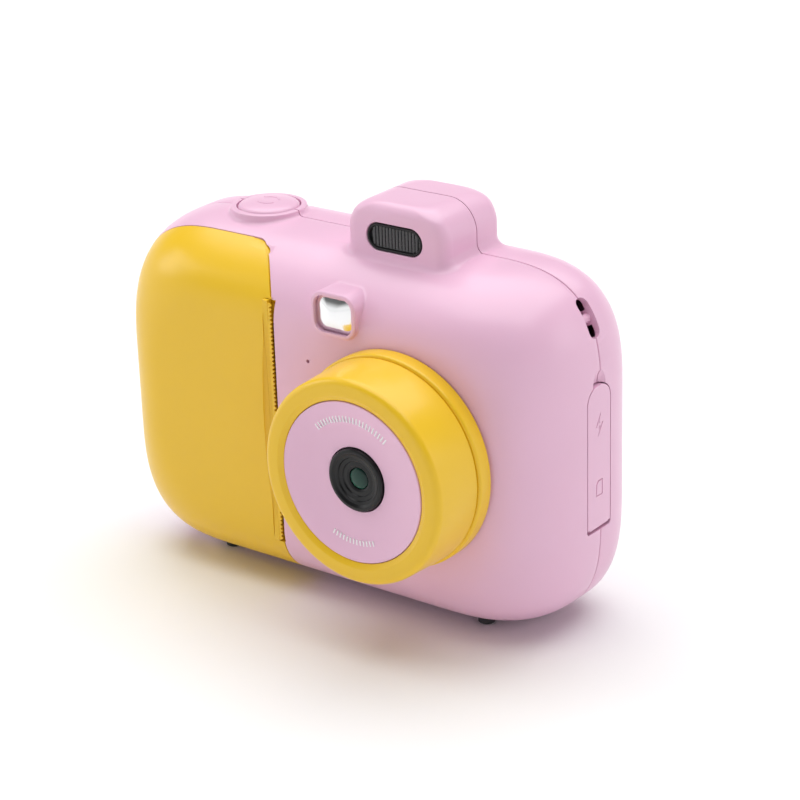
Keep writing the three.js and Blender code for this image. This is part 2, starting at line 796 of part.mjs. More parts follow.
/** Dished pink face inside the lens ring. */
function lensDisc() {
  const rimY = lensFrontY + 0.8;
  const inner = lens.bezelRadius + clearance;
  const steps = 4;
  const profile = [];
  for (let i = 0; i <= steps; i += 1) {
    const share = i / steps;
    const r = inner + (lens.discRadius - inner) * share;
    profile.push([r, rimY + lens.dish * Math.cos((share * Math.PI) / 2) ** 1.2]);
  }
  profile.push([lens.discRadius, rimY + 1.6]);
  profile.push([inner, rimY + lens.dish + 1.5]);
  profile.push([inner, rimY + lens.dish]);
  return lensTurned(profile);
}

const bezelFrontY = lensFrontY + 0.8 + lens.dish - 0.7;
const glassY = bezelFrontY + 4.2;

/** Black stepped cone around the small glass. */
function lensBezel() {
  const outer = lens.bezelRadius;
  const back = glassY + 2.4;
  return lensTurned(
    [
      [lens.glassRadius + 0.2, back],
      [outer, back],
      [outer, bezelFrontY + 0.6],
      [outer - 0.5, bezelFrontY + 0.1],
      [outer - 1.0, bezelFrontY],
      [outer - 1.5, bezelFrontY + 0.3],
      [outer - 1.8, bezelFrontY + 1.2],
      [outer - 2.7, bezelFrontY + 1.5],
      [outer - 2.9, bezelFrontY + 2.6],
      [outer - 3.8, bezelFrontY + 2.9],
      [lens.glassRadius + 0.2, glassY - 0.4],
      [lens.glassRadius + 0.2, back],
    ],
    24,
  );
}

/** Small front glass, a shallow dome. */
function lensGlass() {
  return lensTurned(
    [
      [0, glassY - 0.5],
      [lens.glassRadius * 0.5, glassY - 0.36],
      [lens.glassRadius, glassY],
      [lens.glassRadius, glassY + 1.2],
      [0, glassY + 1.2],
    ],
    24,
  );
}

const barrelBackY = casingFrontY - 2.2;

/** Barrel of the camera module behind the glass. */
function lensBarrel() {
  const [front, back] = [glassY + 2.4 + clearance, barrelBackY];
  return lensTurned(
    [
      [lens.glassRadius, front],
      [lens.barrelRadius, front],
      [lens.barrelRadius, back],
      [lens.glassRadius, back],
      [lens.glassRadius, front],
    ],
    32,
  );
}

/** Sensor board with the sensor can behind the barrel. */
function sensorBoard() {
  const [front, back] = [barrelBackY + 1.1, casingFrontY - clearance];
  const half = lens.boardSize / 2;
  const sensor = lens.sensorSize / 2;
  const plate = block([lens.x - half, front, lens.z - half], [lens.x + half, back, lens.z + half]);
  const can = block(
    [lens.x - sensor, barrelBackY + clearance, lens.z - sensor],
    [lens.x + sensor, front + 0.2, lens.z + sensor],
  );
  return join(plate, can);
}

// ---------------------------------------------------------------- flash, mirror, microphone

/** Ribbed window over the flash. */
function flashWindow() {
  const shape = roundedRectangle(
    hump.centreX,
    flashZ,
    flash.width - 2 * clearance,
    flash.height - 2 * clearance,
    flash.height / 2 - clearance,
  );
  const front = hump.frontY + flash.recess;
  return plateY(shape, front, front + flash.windowThickness, 0, 8);
}

const cupFrontY = hump.frontY + flash.recess + flash.windowThickness + clearance;
const cupBackY = cupFrontY + flash.cupDepth;

/** Bright cup behind the flash window, open to the front. */
function flashReflector() {
  const [width, height] = [flash.width - 3, flash.height - 1];
  const [hollowWidth, hollowHeight] = [width - 2 * flash.cupWall, height - 2 * flash.cupWall];
  const outer = roundedRectangle(hump.centreX, flashZ, width, height, flash.height / 2);
  const inner = roundedRectangle(hump.centreX, flashZ, hollowWidth, hollowHeight, flash.height / 2);
  const hollow = plateY(inner, cupFrontY - 1, cupBackY - flash.cupWall, 0, 5);
  return plateY(outer, cupFrontY, cupBackY, 0, 5).subtract(hollow);
}

/** Flash LED in the middle of the cup. */
function flashLed() {
  const back = cupBackY - flash.cupWall - clearance;
  const [halfWidth, halfHeight] = [flash.ledWidth / 2, flash.ledHeight / 2];
  const low = [hump.centreX - halfWidth, back - 0.9, flashZ - halfHeight];
  return block(low, [hump.centreX + halfWidth, back, flashZ + halfHeight]);
}

/** Convex selfie mirror, seated in its frame. */
function frontMirror() {
  const [width, height] = [mirror.width - 2 * clearance, mirror.height - 2 * clearance];
  const shape = roundedRectangle(mirror.centreX, mirrorZ, width, height, mirror.corner);
  const back = mirrorBackY - clearance;
  return plateY(shape, mirrorFrontY + 0.1, back, 0.35, 4, 1);
}

/** Microphone capsule behind its pinhole. */
function microphone() {
  const front = innerFrontY + clearance;
  return barY(micHole.x, micHole.z, micHole.capsuleRadius, front, front + micHole.capsuleDepth, 20);
}

// ---------------------------------------------------------------- paper cover and platen

const sleeveLow = slot.centreZ - paper.width / 2 - platen.sleeveSpare;
const sleeveHigh = slot.centreZ + paper.width / 2 + platen.sleeveSpare;
const barLeft = cover.edgeX - slot.gap / 2 - slot.barWidth;
const barFrontY = casingFrontY + 0.2;

/** One of the two ears that carry the platen shaft inside the cover. */
function platenEar(low, high) {
  const [x0, x1] = [platenX - platen.shaftRadius - 2, cover.edgeX - 0.4];
  const rear = platenY + platen.shaftRadius + 1;
  const plate = block([x0, casingFrontY, low], [x1, rear, high]).intersect(outerForm);
  return plate.subtract(barZ(platenX, platenY, platen.shaftRadius + runningFit, low - 1, high + 1));
}

/** The rib inside the cover that backs the tear bar. */
function tearRib() {
  const back = barFrontY + slot.barThickness;
  const low = [barLeft - 1.5, back + clearance, slotLow - 1];
  return block(low, [cover.edgeX - slot.gap / 2 - 0.4, back + 2, slotHigh + 1]);
}

/** The shallow crescent worn into the cover beside the slot, where a finger lifts the print. */
function crescent() {
  return ball([cover.edgeX - 0.4, casingFrontY - 0.55, slot.centreZ], 1, [3.6, 1.45, slotLength / 2 - 0.6]);
}

/** Yellow door over the paper bay; it swings on the pin at its outer edge. */
function paperCover() {
  const share = shell.intersect(coverSpace(-seam / 2));
  const ears = [
    platenEar(sleeveLow - clearance - platen.earThickness, sleeveLow - clearance),
    platenEar(sleeveHigh + clearance, sleeveHigh + clearance + platen.earThickness),
  ];
  const leaf = knuckles(coverKnuckles, cover.hingeRadius);
  const barSeat = block(
    [barLeft - clearance, -far, slotLow - clearance],
    [far, barFrontY + slot.barThickness + clearance, slotHigh + clearance],
  );
  const fixed = knuckles(casingKnuckles, cover.hingeRadius + clearance, clearance);
  return cut(join(share, tearRib(), ...ears, leaf), barSeat, crescent(), fixed, hingeBore());
}

/** Serrated bar along the paper slot. */
function tearBar() {
  const tip = cover.edgeX - slot.gap / 2;
  const back = tip - slot.toothDepth;
  const shape = new THREE.Shape();
  shape.moveTo(barLeft, slotLow);
  shape.lineTo(back, slotLow);
  const teeth = Math.floor(slotLength / slot.toothPitch);
  for (let i = 0; i < teeth; i += 1) {
    const low = slotLow + i * (slotLength / teeth);
    shape.lineTo(tip, low + slotLength / teeth / 2);
    shape.lineTo(back, low + slotLength / teeth);
  }
  shape.lineTo(barLeft, slotHigh);
  return plateY(shape, barFrontY, barFrontY + slot.barThickness).subtract(crescent());
}

/** Steel pin of the cover hinge. */
function coverPin() {
  const reach = 2.5 * (cover.knuckle + clearance) - 0.2;
  return barZ(hingeX, hingeY, cover.pinRadius, -reach, reach, 16);
}

const platenTop = sleeveHigh + clearance + platen.earThickness + 0.8;

/** Steel shaft of the platen roller. */
const platenShaft = () => barZ(platenX, platenY, platen.shaftRadius, gearLow - 0.3, platenTop);

/** A tube along Z. */
function tubeZ(x, y, inner, outer, z0, z1, segments = 24) {
  const profile = [[inner, z0], [outer, z0], [outer, z1], [inner, z1], [inner, z0]];
  return turnedZ(profile, x, y, segments);
}

/** Rubber sleeve that drives the paper. */
const platenSleeve = () =>
  tubeZ(platenX, platenY, platen.shaftRadius + runningFit, platen.radius, sleeveLow, sleeveHigh);

// ---------------------------------------------------------------- gears

const pressureAngle = (20 * Math.PI) / 180;
const involute = (angle) => Math.tan(angle) - angle;

/** Pitch radius of a gear by its tooth count. */
const pitchRadius = (teeth) => (teeth * gear.module) / 2;

/** Half the angle that a tooth fills at a radius. */
function toothHalfAngle(teeth, radius) {
  const pitch = pitchRadius(teeth);
  const base = pitch * Math.cos(pressureAngle);
  const thickness = (Math.PI * gear.module) / 2 - gear.play;
  const here = radius > base ? involute(Math.acos(base / radius)) : 0;
  return thickness / (2 * pitch) + involute(pressureAngle) - here;
}

/** A bored spur gear with straight chords for its involute flanks, one tooth centre at a given angle. */
function spurGear(x, y, teeth, bore, toothAt) {
  const pitch = pitchRadius(teeth);
  const root = pitch - 1.15 * gear.module;
  const tip = pitch + 0.85 * gear.module;
  const [wide, narrow] = [toothHalfAngle(teeth, root), toothHalfAngle(teeth, tip)];
  const corner = (r, angle) => new THREE.Vector2(x + r * Math.cos(angle), y + r * Math.sin(angle));
  const points = [];
  for (let i = 0; i < teeth; i += 1) {
    const centre = toothAt + (2 * Math.PI * i) / teeth;
    points.push(corner(root, centre - wide), corner(tip, centre - narrow));
    points.push(corner(tip, centre + narrow), corner(root, centre + wide));
  }
  const shape = new THREE.Shape(points);
  const hole = new THREE.Path();
  hole.absarc(x, y, bore, 0, 2 * Math.PI, true);
  shape.holes.push(hole);
  return plateZ(shape, gearLow, gearTop, 8);
}

/** Where a mating gear's tooth points, given the first gear's, so that the two are in mesh. */
function meshedTooth(bearing, teeth, toothAt, matingTeeth) {
  return bearing + Math.PI - (Math.PI - teeth * (bearing - toothAt)) / matingTeeth;
}

const idlerX = platenX;
const idlerY = platenY + pitchRadius(gear.platenTeeth) + pitchRadius(gear.idlerTeeth) + gear.play;
const motorBearing = (motor.bearing * Math.PI) / 180;
const pinionReach = pitchRadius(gear.idlerTeeth) + pitchRadius(gear.pinionTeeth) + gear.play;
const pinionX = idlerX + pinionReach * Math.cos(motorBearing);
const pinionY = idlerY + pinionReach * Math.sin(motorBearing);
const platenTooth = Math.PI / 2;
const idlerTooth = meshedTooth(Math.PI / 2, gear.platenTeeth, platenTooth, gear.idlerTeeth);
const pinionTooth = meshedTooth(motorBearing, gear.idlerTeeth, idlerTooth, gear.pinionTeeth);

const platenGear = () =>
  spurGear(platenX, platenY, gear.platenTeeth, platen.shaftRadius + runningFit, platenTooth);
const idlerGear = () => spurGear(idlerX, idlerY, gear.idlerTeeth, gear.axleRadius + runningFit, idlerTooth);
const motorPinion = () =>
  spurGear(pinionX, pinionY, gear.pinionTeeth, motor.shaftRadius + runningFit, pinionTooth);

// ---------------------------------------------------------------- printer frame, motor, head, roll

const plateLow = bayLow - frameWall;
const headX = cover.edgeX + runningFit;
const headWallX = headX + head.thickness + head.backGap;
const motorLow = bayLow + clearance;
const headHigh = slot.centreZ + paper.width / 2 + head.spare;
const headLow = slot.centreZ - paper.width / 2 - head.spare + 1;

/** Black frame: roll bay, gear plate with the idler axle, wall behind the head and a footing below. */
function printerFrame() {
  const front = -cover.seamDepth + 0.5;
  const outside = block(
    [bayLeft - frameWall, front, plateLow],
    [bayRight + frameWall, bay.back + frameWall, bayHigh + frameWall],
  );
  const inside = block([bayLeft, -far, bayLow], [bayRight, bay.back, bayHigh]);
  const gearPlateHigh = [pinionX + motor.radius, bay.back + frameWall, bayLow];
  const gearPlate = block([bayRight, front + 0.6, plateLow], gearPlateHigh);
  const rear = -head.width - frameWall;
  const wallLow = [headWallX, platenY - head.width / 2, plateLow];
  const headWall = block(wallLow, [headWallX + frameWall, rear + 1, headHigh]);
  const axle = barZ(idlerX, idlerY, gear.axleRadius, gearLow - gear.plateGap, plateLow + 0.2, 20);
  const shaftHole = barZ(pinionX, pinionY, motor.shaftRadius + 0.6, plateLow - 1, bayLow + 1);
  const footingLeft = -(casing.halfWidth - screw.insetX - screw.bossRadius - 1);
  const footing = block([footingLeft, bay.back, -far], [bayRight + frameWall, bay.back + frameWall, bayLow]);
  const whole = join(outside.subtract(inside), gearPlate, headWall, axle, footing).intersect(frameSpace);
  return whole.subtract(shaftHole);
}

/** Stepper motor that drives the gear train. */
function driveMotor() {
  const can = barZ(pinionX, pinionY, motor.radius, motorLow, motorLow + motor.length, 28);
  const bore = barZ(pinionX, pinionY, motor.shaftRadius + runningFit, motorLow - 1, motorLow + 6, 16);
  return can.subtract(bore);
}

const motorShaft = () => barZ(pinionX, pinionY, motor.shaftRadius, gearLow - 0.2, motorLow + 5, 16);

/** Heated print head that the platen presses the paper against. */
function thermalHead() {
  const [front, rear] = [platenY - head.width / 2, platenY + head.width / 2];
  return block([headX, front, headLow], [headX + head.thickness, rear, headHigh]);
}

/** Bowed leaf spring between the head and the frame. */
function headSpring() {
  const [x0, x1] = [headX + head.thickness + clearance, headWallX - clearance];
  const half = head.width / 2 - 0.4;
  const steps = 8;
  const bow = (inset) => {
    const points = [];
    for (let i = 0; i <= steps; i += 1) {
      const share = (i / steps) * 2 - 1;
      const x = x0 + (x1 - x0 - head.springGauge) * (1 - share * share) + inset;
      points.push(new THREE.Vector2(x, platenY + share * half));
    }
    return points;
  };
  const shape = new THREE.Shape([...bow(0), ...bow(head.springGauge).reverse()]);
  const reach = head.springLength / 2;
  return plateZ(shape, slot.centreZ - reach, slot.centreZ + reach);
}

const rollLow = slot.centreZ - paper.width / 2;
const rollHigh = slot.centreZ + paper.width / 2;
const paperRoll = () =>
  tubeZ(rollX, paper.centreY, paper.coreRadius + runningFit, paper.rollRadius, rollLow, rollHigh, 32);
const rollCore = () =>
  tubeZ(rollX, paper.centreY, paper.coreRadius - paper.coreWall, paper.coreRadius, rollLow, rollHigh);

// ---------------------------------------------------------------- shutter

const shutterFlangeTop = innerTop - clearance;
const shutterFlangeLow = shutterFlangeTop - shutter.flange;
const switchTop = shutterFlangeLow - shutter.switchGap;

/** Domed shutter button with a retaining flange and a short stem. */
function shutterButton() {
  const rimZ = collarTop + 0.1;
  const r = shutter.capRadius;
  const profile = [
    [0, shutterFlangeLow - 1.0],
    [1.5, shutterFlangeLow - 1.0],
    [1.5, shutterFlangeLow],
    [r + shutter.lip, shutterFlangeLow],
    [r + shutter.lip, shutterFlangeTop],
    [r, shutterFlangeTop],
    [r, rimZ - 0.3],
    [r - 0.3, rimZ],
    [r * 0.7, rimZ + shutter.domeRise * 0.55],
    [r * 0.35, rimZ + shutter.domeRise * 0.9],
    [0, rimZ + shutter.domeRise],
  ];
  return turnedZ(profile, shutter.x, 0, 28);
}

/** A coil winding up around a vertical line. */
class Coil extends THREE.Curve {
  constructor(x, y, radius, low, high, turns) {
    super();
    Object.assign(this, { x, y, radius, low, high, turns });
  }

  getPoint(t, target = new THREE.Vector3()) {
    const turn = 2 * Math.PI * this.turns * t;
    const height = this.low + (this.high - this.low) * t;
    return target.set(this.x + this.radius * Math.cos(turn), this.y + this.radius * Math.sin(turn), height);
  }
}

/** Return spring under the shutter button. */
function shutterSpring() {
  const wire = shutter.springWire;
  const [low, high] = [switchTop + wire + 0.1, shutterFlangeLow - wire - 0.1];
  const extrudePath = new Coil(shutter.x, 0, shutter.springRadius, low, high, 2.5);
  const section = new THREE.Shape();
  section.absarc(0, 0, wire, 0, 2 * Math.PI);
  const settings = { steps: 24, extrudePath, curveSegments: 2, bevelEnabled: false };
  return solid(new THREE.ExtrudeGeometry(section, settings));
}

/** Tact switch under the shutter button. */
function shutterSwitch() {
  const body = block([shutter.x - 3, -3, switchTop - 2.4], [shutter.x + 3, 3, switchTop]);
  const knob = barZ(shutter.x, 0, 1.3, switchTop - 0.2, switchTop + 0.6, 16);
  return join(body, knob);
}

// ---------------------------------------------------------------- right side: strap bar and ports

/** Bar across the strap pocket. */
function strapBar() {
  const reach = strap.width / 2 + 1.4;
  return barY(strapBarX, strapBarZ, strap.barRadius, -reach, reach, 16);
}

/** Flush flap over the sockets, with a round nose at its hinge end. */
function portFlap() {
  const outline = plateX(portShape(-clearance), casing.halfWidth - port.flapThickness, far);
  const body = outline.intersect(outerForm);
  const above = body.intersect(block([-far, -far, flapAxisZ], [far, far, far]));
  const half = port.width / 2 - clearance;
  const noseRadius = port.hingeDepth - 0.1;
  const nose = barY(flapAxisX, flapAxisZ, noseRadius, port.centreY - half, port.centreY + half, 20);
  return join(above, nose.intersect(body)).subtract(flapBore(half + 1));
}

/** Thin pin that the flap turns on. */
function flapPin() {
  const reach = port.width / 2 + 0.8;
  return barY(flapAxisX, flapAxisZ, port.pinRadius, port.centreY - reach, port.centreY + reach, 12);
}

const socketFrontX = casing.halfWidth - port.flapThickness - clearance - 0.3;

/** Charging socket shell with its tongue. */
function usbSocket() {
  const outer = roundedRectangle(port.centreY, usb.z, usb.height, usb.length, usb.height / 2);
  const [height, length] = [usb.height - 2 * usb.wall, usb.length - 2 * usb.wall];
  const inner = roundedRectangle(port.centreY, usb.z, height, length, height / 2);
  const back = socketFrontX - usb.depth;
  const hollow = plateX(inner, back + 1, far);
  const [thin, half] = [usb.tongue / 2, usb.length / 2 - 1.3];
  const tongue = block(
    [back + 0.5, port.centreY - thin, usb.z - half],
    [socketFrontX - 1, port.centreY + thin, usb.z + half],
  );
  return join(plateX(outer, back, socketFrontX).subtract(hollow), tongue);
}

const cardBackX = socketFrontX - 0.6 - card.length;

/** Socket that the memory card slides into. */
function cardSocket() {
  const half = card.socketWidth / 2;
  const [front, rear] = [port.centreY - card.socketHeight / 2, port.centreY + card.socketHeight / 2];
  const padX = casing.halfWidth - wall - port.padDepth - clearance;
  const shellBox = block([cardBackX - 1.5, front, card.z - half], [padX, rear, card.z + half]);
  const [wide, thin] = [card.width / 2 + clearance, card.thickness / 2 + clearance];
  const hollow = block(
    [cardBackX - clearance, port.centreY - thin, card.z - wide],
    [far, port.centreY + thin, card.z + wide],
  );
  return shellBox.subtract(hollow);
}

/** Memory card, pushed home behind the flap. */
function memoryCard() {
  const [half, thin] = [card.width / 2, card.thickness / 2];
  const front = cardBackX + card.length;
  return block([cardBackX, port.centreY - thin, card.z - half], [front, port.centreY + thin, card.z + half]);
}

// ---------------------------------------------------------------- inside: boards, battery, screen, speaker

const boardY = port.centreY + usb.height / 2 + clearance;
const boardRight = casing.halfWidth - board.sideGap;

/** Main board behind the sockets. */
function mainBoard() {
  const rear = boardY + board.thickness;
  const plate = block([board.left, boardY, -board.halfHeight], [boardRight, rear, board.halfHeight]);
  const [chipX, half] = [(board.left + boardRight) / 2, board.chipSize / 2];
  const chip = block([chipX - half, rear - 0.1, -half], [chipX + half, rear + board.chipHeight, half]);
  return join(plate, chip);
}

/** Flat battery pouch behind the front wall. */
function batteryPack() {
  const front = innerFrontY + battery.frontGap;
  return block([battery.left, front, battery.low], [battery.right, front + battery.thickness, battery.high]);
}

/** Colour screen module behind its window. */
function lcdPanel() {
  const halfWidth = screen.viewWidth / 2 + screen.panelMargin;
  const halfHeight = screen.viewHeight / 2 + screen.panelMargin;
  const rear = innerRearY - clearance;
  const low = [screen.centreX - halfWidth, rear - screen.panelThickness, -halfHeight];
  return block(low, [screen.centreX + halfWidth, rear, halfHeight]);
}

/** Clear window over the screen. */
function screenWindow() {
  const [width, height] = [screen.width - 2 * clearance, screen.height - 2 * clearance];
  const shape = roundedRectangle(screen.centreX, 0, width, height, screen.corner - clearance);
  const seat = casing.rearDepth - screen.seatDepth;
  return plateY(shape, seat + clearance, casing.rearDepth - 0.1, 0, 5);
}

/** Loudspeaker behind its grille. */
function loudspeaker() {
  const rear = innerRearY - clearance;
  return barY(speaker.x, speaker.z, speaker.radius, rear - speaker.thickness, rear, 28);
}

// ---------------------------------------------------------------- keys

const keyFaceY = casing.rearDepth + keypad.proud;
const keyFlangeY = keyBackY + keypad.lipThickness;
const domeTopY = keyBackY - keypad.travel - clearance;

/** One arrow key: a quarter of a ring, with a lip behind the casing. */
function arrowKey(turn) {
  const sector = (inner, outer, gap) => {
    const [start, end] = [turn - Math.PI / 4, turn + Math.PI / 4];
    const shape = new THREE.Shape();
    shape.absarc(keypad.x, keypad.z, outer, start + gap / outer, end - gap / outer, false);
    shape.absarc(keypad.x, keypad.z, inner, end - gap / inner, start + gap / inner, true);
    return shape;
  };
  const cap = plateY(sector(keypad.inner, keypad.outer, 0.3), keyBackY, keyFaceY, 0, 6);
  const lip = plateY(sector(keypad.inner, keypad.outer + keypad.lip, 0.3), keyBackY, keyFlangeY, 0, 6);
  return join(cap, lip);
}

/** A round key with a lip behind the casing. */
function roundKey(x, z, radius, lip) {
  const profile = [
    [0, keyBackY],
    [radius + lip, keyBackY],
    [radius + lip, keyFlangeY],
    [radius, keyFlangeY],
    [radius, keyFaceY - 0.3],
    [radius - 0.3, keyFaceY],
    [0, keyFaceY],
  ];
  return turnedY(profile, x, z, 20);
}

/** Board with the domes that the keys press. */
function keyBoard() {
  const rear = domeTopY - keypad.domeHeight;
  const reach = keypad.outer + 1.9;
  const low = [keypad.x - reach, rear - board.thickness, sideKey.z - sideKey.radius - 1.1];
  const plate = block(low, [keypad.x + reach, rear, keypad.z + reach - 0.5]);
  const middle = (keypad.inner + keypad.outer) / 2;
  const around = [0, 1, 2, 3].map((i) => [
    keypad.x + middle * Math.cos((i * Math.PI) / 2),
    keypad.z + middle * Math.sin((i * Math.PI) / 2),
  ]);
  const domes = [...around, [keypad.x, keypad.z], ...sideKeyPlaces];
  return join(plate, ...domes.map(([x, z]) => barY(x, z, keypad.domeRadius, rear - 0.2, domeTopY, 8)));
}

// ---------------------------------------------------------------- fasteners and feet

/** Pan-head case screw. */
function caseScrew(x, z) {
  const seat = screw.seatY + 0.1;
  const { headRadius, headHeight, shankRadius } = screw;
  const profile = [
    [0, seat - screw.length],
    [shankRadius, seat - screw.length + 1],
    [shankRadius, seat],
    [headRadius, seat],
    [headRadius, seat + headHeight / 2],
    [headRadius * 0.6, seat + headHeight],
    [0, seat + headHeight],
  ];
  return turnedY(profile, x, z, 12);
}

/** Round rubber foot in its pocket. */
function rubberFoot([x, y]) {
  const low = -casing.halfHeight - foot.drop;
  return barZ(x, y, foot.radius, low, undersideAt(y) + foot.seat - clearance, 12);
}

// ---------------------------------------------------------------- assembly

const camera = new THREE.Group();
camera.position.set(0, (fullFront - fullRear) / 2, casing.halfHeight + foot.drop);

/** Adds one named piece with its finish. */
function place(name, body, look) {
  const mesh = new THREE.Mesh(geometryOf(body), new THREE.MeshStandardMaterial(look));
  mesh.name = name;
  camera.add(mesh);
}

place('front_casing', frontCasing(), pinkPlastic);
place('rear_casing', rearCasing(), pinkPlastic);

place('lens_collar', lensCollar(), yellowPlastic);
place('lens_ring', lensRing(), yellowPlastic);
place('lens_disc', lensDisc(), pinkPlastic);
place('lens_bezel', lensBezel(), blackPlastic);
place('lens_glass', lensGlass(), glass);
place('lens_barrel', lensBarrel(), blackPlastic);
place('sensor_board', sensorBoard(), circuit);

place('flash_window', flashWindow(), glass);
place('flash_reflector', flashReflector(), chrome);
place('flash_led', flashLed(), yellowPlastic);
place('front_mirror', frontMirror(), chrome);
place('microphone', microphone(), steel);

place('paper_cover', paperCover(), yellowPlastic);
place('tear_bar', tearBar(), yellowPlastic);
place('cover_pin', coverPin(), steel);
place('platen_shaft', platenShaft(), steel);
place('platen_sleeve', platenSleeve(), rubber);
place('platen_gear', platenGear(), whiteGear);
place('idler_gear', idlerGear(), whiteGear);
place('motor_pinion', motorPinion(), whiteGear);
place('motor_shaft', motorShaft(), steel);
place('drive_motor', driveMotor(), steel);
place('printer_frame', printerFrame(), blackPlastic);
place('thermal_head', thermalHead(), greyPlastic);
place('head_spring', headSpring(), steel);
place('paper_roll', paperRoll(), paperWhite);
place('roll_core', rollCore(), greyPlastic);

place('shutter_button', shutterButton(), pinkPlastic);
place('shutter_spring', shutterSpring(), steel);
place('shutter_switch', shutterSwitch(), blackPlastic);
place('strap_bar', strapBar(), pinkPlastic);
place('port_flap', portFlap(), pinkPlastic);
place('flap_pin', flapPin(), steel);
place('usb_socket', usbSocket(), steel);
place('card_socket', cardSocket(), steel);
place('memory_card', memoryCard(), blackPlastic);

place('main_board', mainBoard(), circuit);
place('battery_pack', batteryPack(), foil);
place('loudspeaker', loudspeaker(), blackPlastic);
place('lcd_panel', lcdPanel(), greyPlastic);
place('screen_window', screenWindow(), glass);
place('key_board', keyBoard(), circuit);

['right', 'up', 'left', 'down'].forEach((side, i) => {
  place(`${side}_key`, arrowKey((i * Math.PI) / 2), yellowPlastic);
});
place('ok_key', roundKey(keypad.x, keypad.z, keypad.okRadius, 0), yellowPlastic);
['menu_key', 'power_key'].forEach((name, i) => {
  place(name, roundKey(...sideKeyPlaces[i], sideKey.radius, sideKey.lip), yellowPlastic);
});

const corners = ['left_low', 'left_high', 'right_low', 'right_high'];
screwPlaces.forEach(([x, z], i) => place(`case_screw_${corners[i]}`, caseScrew(x, z), steel));

const feet = ['left_front', 'left_rear', 'right_front', 'right_rear'];
footPlaces.forEach((spot, i) => place(`foot_${feet[i]}`, rubberFoot(spot), rubber));

export default camera;
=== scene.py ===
"""Looks of a children's instant-print camera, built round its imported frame.

Shapes are worked out in millimetres from the middle of the casing: x to the right, y back from the
parting plane between the two casing halves, z up. They are put into the frame's metres at the end.
"""

import json
import logging
import math
from dataclasses import dataclass
from enum import Enum
from typing import Any, Callable, Iterable, Sequence

import bmesh
import bpy
import numpy as np
from mathutils import Matrix, Vector


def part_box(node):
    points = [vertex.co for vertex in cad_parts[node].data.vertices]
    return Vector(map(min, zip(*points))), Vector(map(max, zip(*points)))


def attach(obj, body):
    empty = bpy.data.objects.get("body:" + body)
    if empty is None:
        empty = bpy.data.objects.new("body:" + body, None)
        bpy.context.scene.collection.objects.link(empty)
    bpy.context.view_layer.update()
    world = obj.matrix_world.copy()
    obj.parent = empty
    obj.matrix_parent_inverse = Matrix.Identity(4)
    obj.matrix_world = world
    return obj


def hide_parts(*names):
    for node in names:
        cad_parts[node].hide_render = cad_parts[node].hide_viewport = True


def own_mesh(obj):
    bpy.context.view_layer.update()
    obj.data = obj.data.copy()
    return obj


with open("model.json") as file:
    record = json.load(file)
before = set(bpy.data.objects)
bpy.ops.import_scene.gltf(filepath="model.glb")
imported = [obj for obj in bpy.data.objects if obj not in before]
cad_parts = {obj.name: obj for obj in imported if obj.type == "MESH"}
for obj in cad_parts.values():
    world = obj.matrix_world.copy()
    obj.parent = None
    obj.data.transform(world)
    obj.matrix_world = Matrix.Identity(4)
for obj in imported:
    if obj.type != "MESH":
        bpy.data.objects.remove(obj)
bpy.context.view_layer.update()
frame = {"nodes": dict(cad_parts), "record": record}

log = logging.getLogger("camera")
MM = 0.001
FAR = 200.0
GAP = 0.3
WALL = 2.0
Point = tuple[float, float, float]
Outline = np.ndarray


class Body(str, Enum):
    """The moving groups of the frame."""

    CAMERA = "camera_body"
    DOOR = "paper_door"
    PLATEN = "platen_roller"
    SUPPLY = "paper_supply"
    SHUTTER = "shutter"
    FLAP = "port_door"
    KEY_RIGHT = "key_right"
    KEY_UP = "key_up"
    KEY_LEFT = "key_left"
    KEY_DOWN = "key_down"
    KEY_OK = "key_ok"
    KEY_MENU = "key_menu"
    KEY_POWER = "key_power"


class Slot(str, Enum):
    """The record's material slots."""

    PINK = "pink_plastic"
    YELLOW = "yellow_plastic"
    BLACK = "black_plastic"
    LENS_GLASS = "lens_glass"
    FLASH_LENS = "flash_lens"
    SCREEN = "screen_glass"
    BOARD = "circuit_board"
    CUP = "bright_chrome"
    MIRROR = "mirror_chrome"
    LED = "led_phosphor"
    STEEL = "steel"
    RUBBER = "roller_rubber"
    GEAR = "gear_plastic"
    HEAD = "print_head"
    PAPER = "thermal_paper"
    GREY = "grey_plastic"
    FOIL = "cell_foil"
    PANEL = "panel_metal"


class Along(Enum):
    """The axis that a prism or a turned piece runs along."""

    X = 0
    Y = 1
    Z = 2


class How(str, Enum):
    """How one solid changes another."""

    CUT = "DIFFERENCE"
    JOIN = "UNION"
    MEET = "INTERSECT"


# ---------------------------------------------------------------- shader expressions


class Value:
    """A shader socket that is used as a number in an expression."""

    def __init__(self, tree: "Shader", socket: Any) -> None:
        """Wraps one output socket of a material's tree."""
        self.tree = tree
        self.socket = socket

    def _with(self, operation: str, *others: Any) -> "Value":
        """Adds one Math node that takes this value first."""
        inputs = dict(enumerate((self, *others)))
        return self.tree.node("ShaderNodeMath", {"operation": operation}, inputs)

    def __add__(self, other: Any) -> "Value":
        """Sum."""
        return self._with("ADD", other)

    def __mul__(self, other: Any) -> "Value":
        """Product."""
        return self._with("MULTIPLY", other)

    def __sub__(self, other: Any) -> "Value":
        """Difference."""
        return self._with("SUBTRACT", other)

    def __rsub__(self, other: float) -> "Value":
        """Difference from a number."""
        return self.tree.node("ShaderNodeMath", {"operation": "SUBTRACT"}, {0: other, 1: self})

    __radd__ = __add__
    __rmul__ = __mul__

    def between(self, low: float, high: float) -> "Value":
        """A smooth step from 0 at low to 1 at high.

        Args:
            low: where the step starts.
            high: where it ends.

        Returns:
            The step as a Value.
        """
        inputs = {"Value": self, "From Min": low, "From Max": high}
        settings = {"interpolation_type": "SMOOTHSTEP"}
        return self.tree.node("ShaderNodeMapRange", settings, inputs)


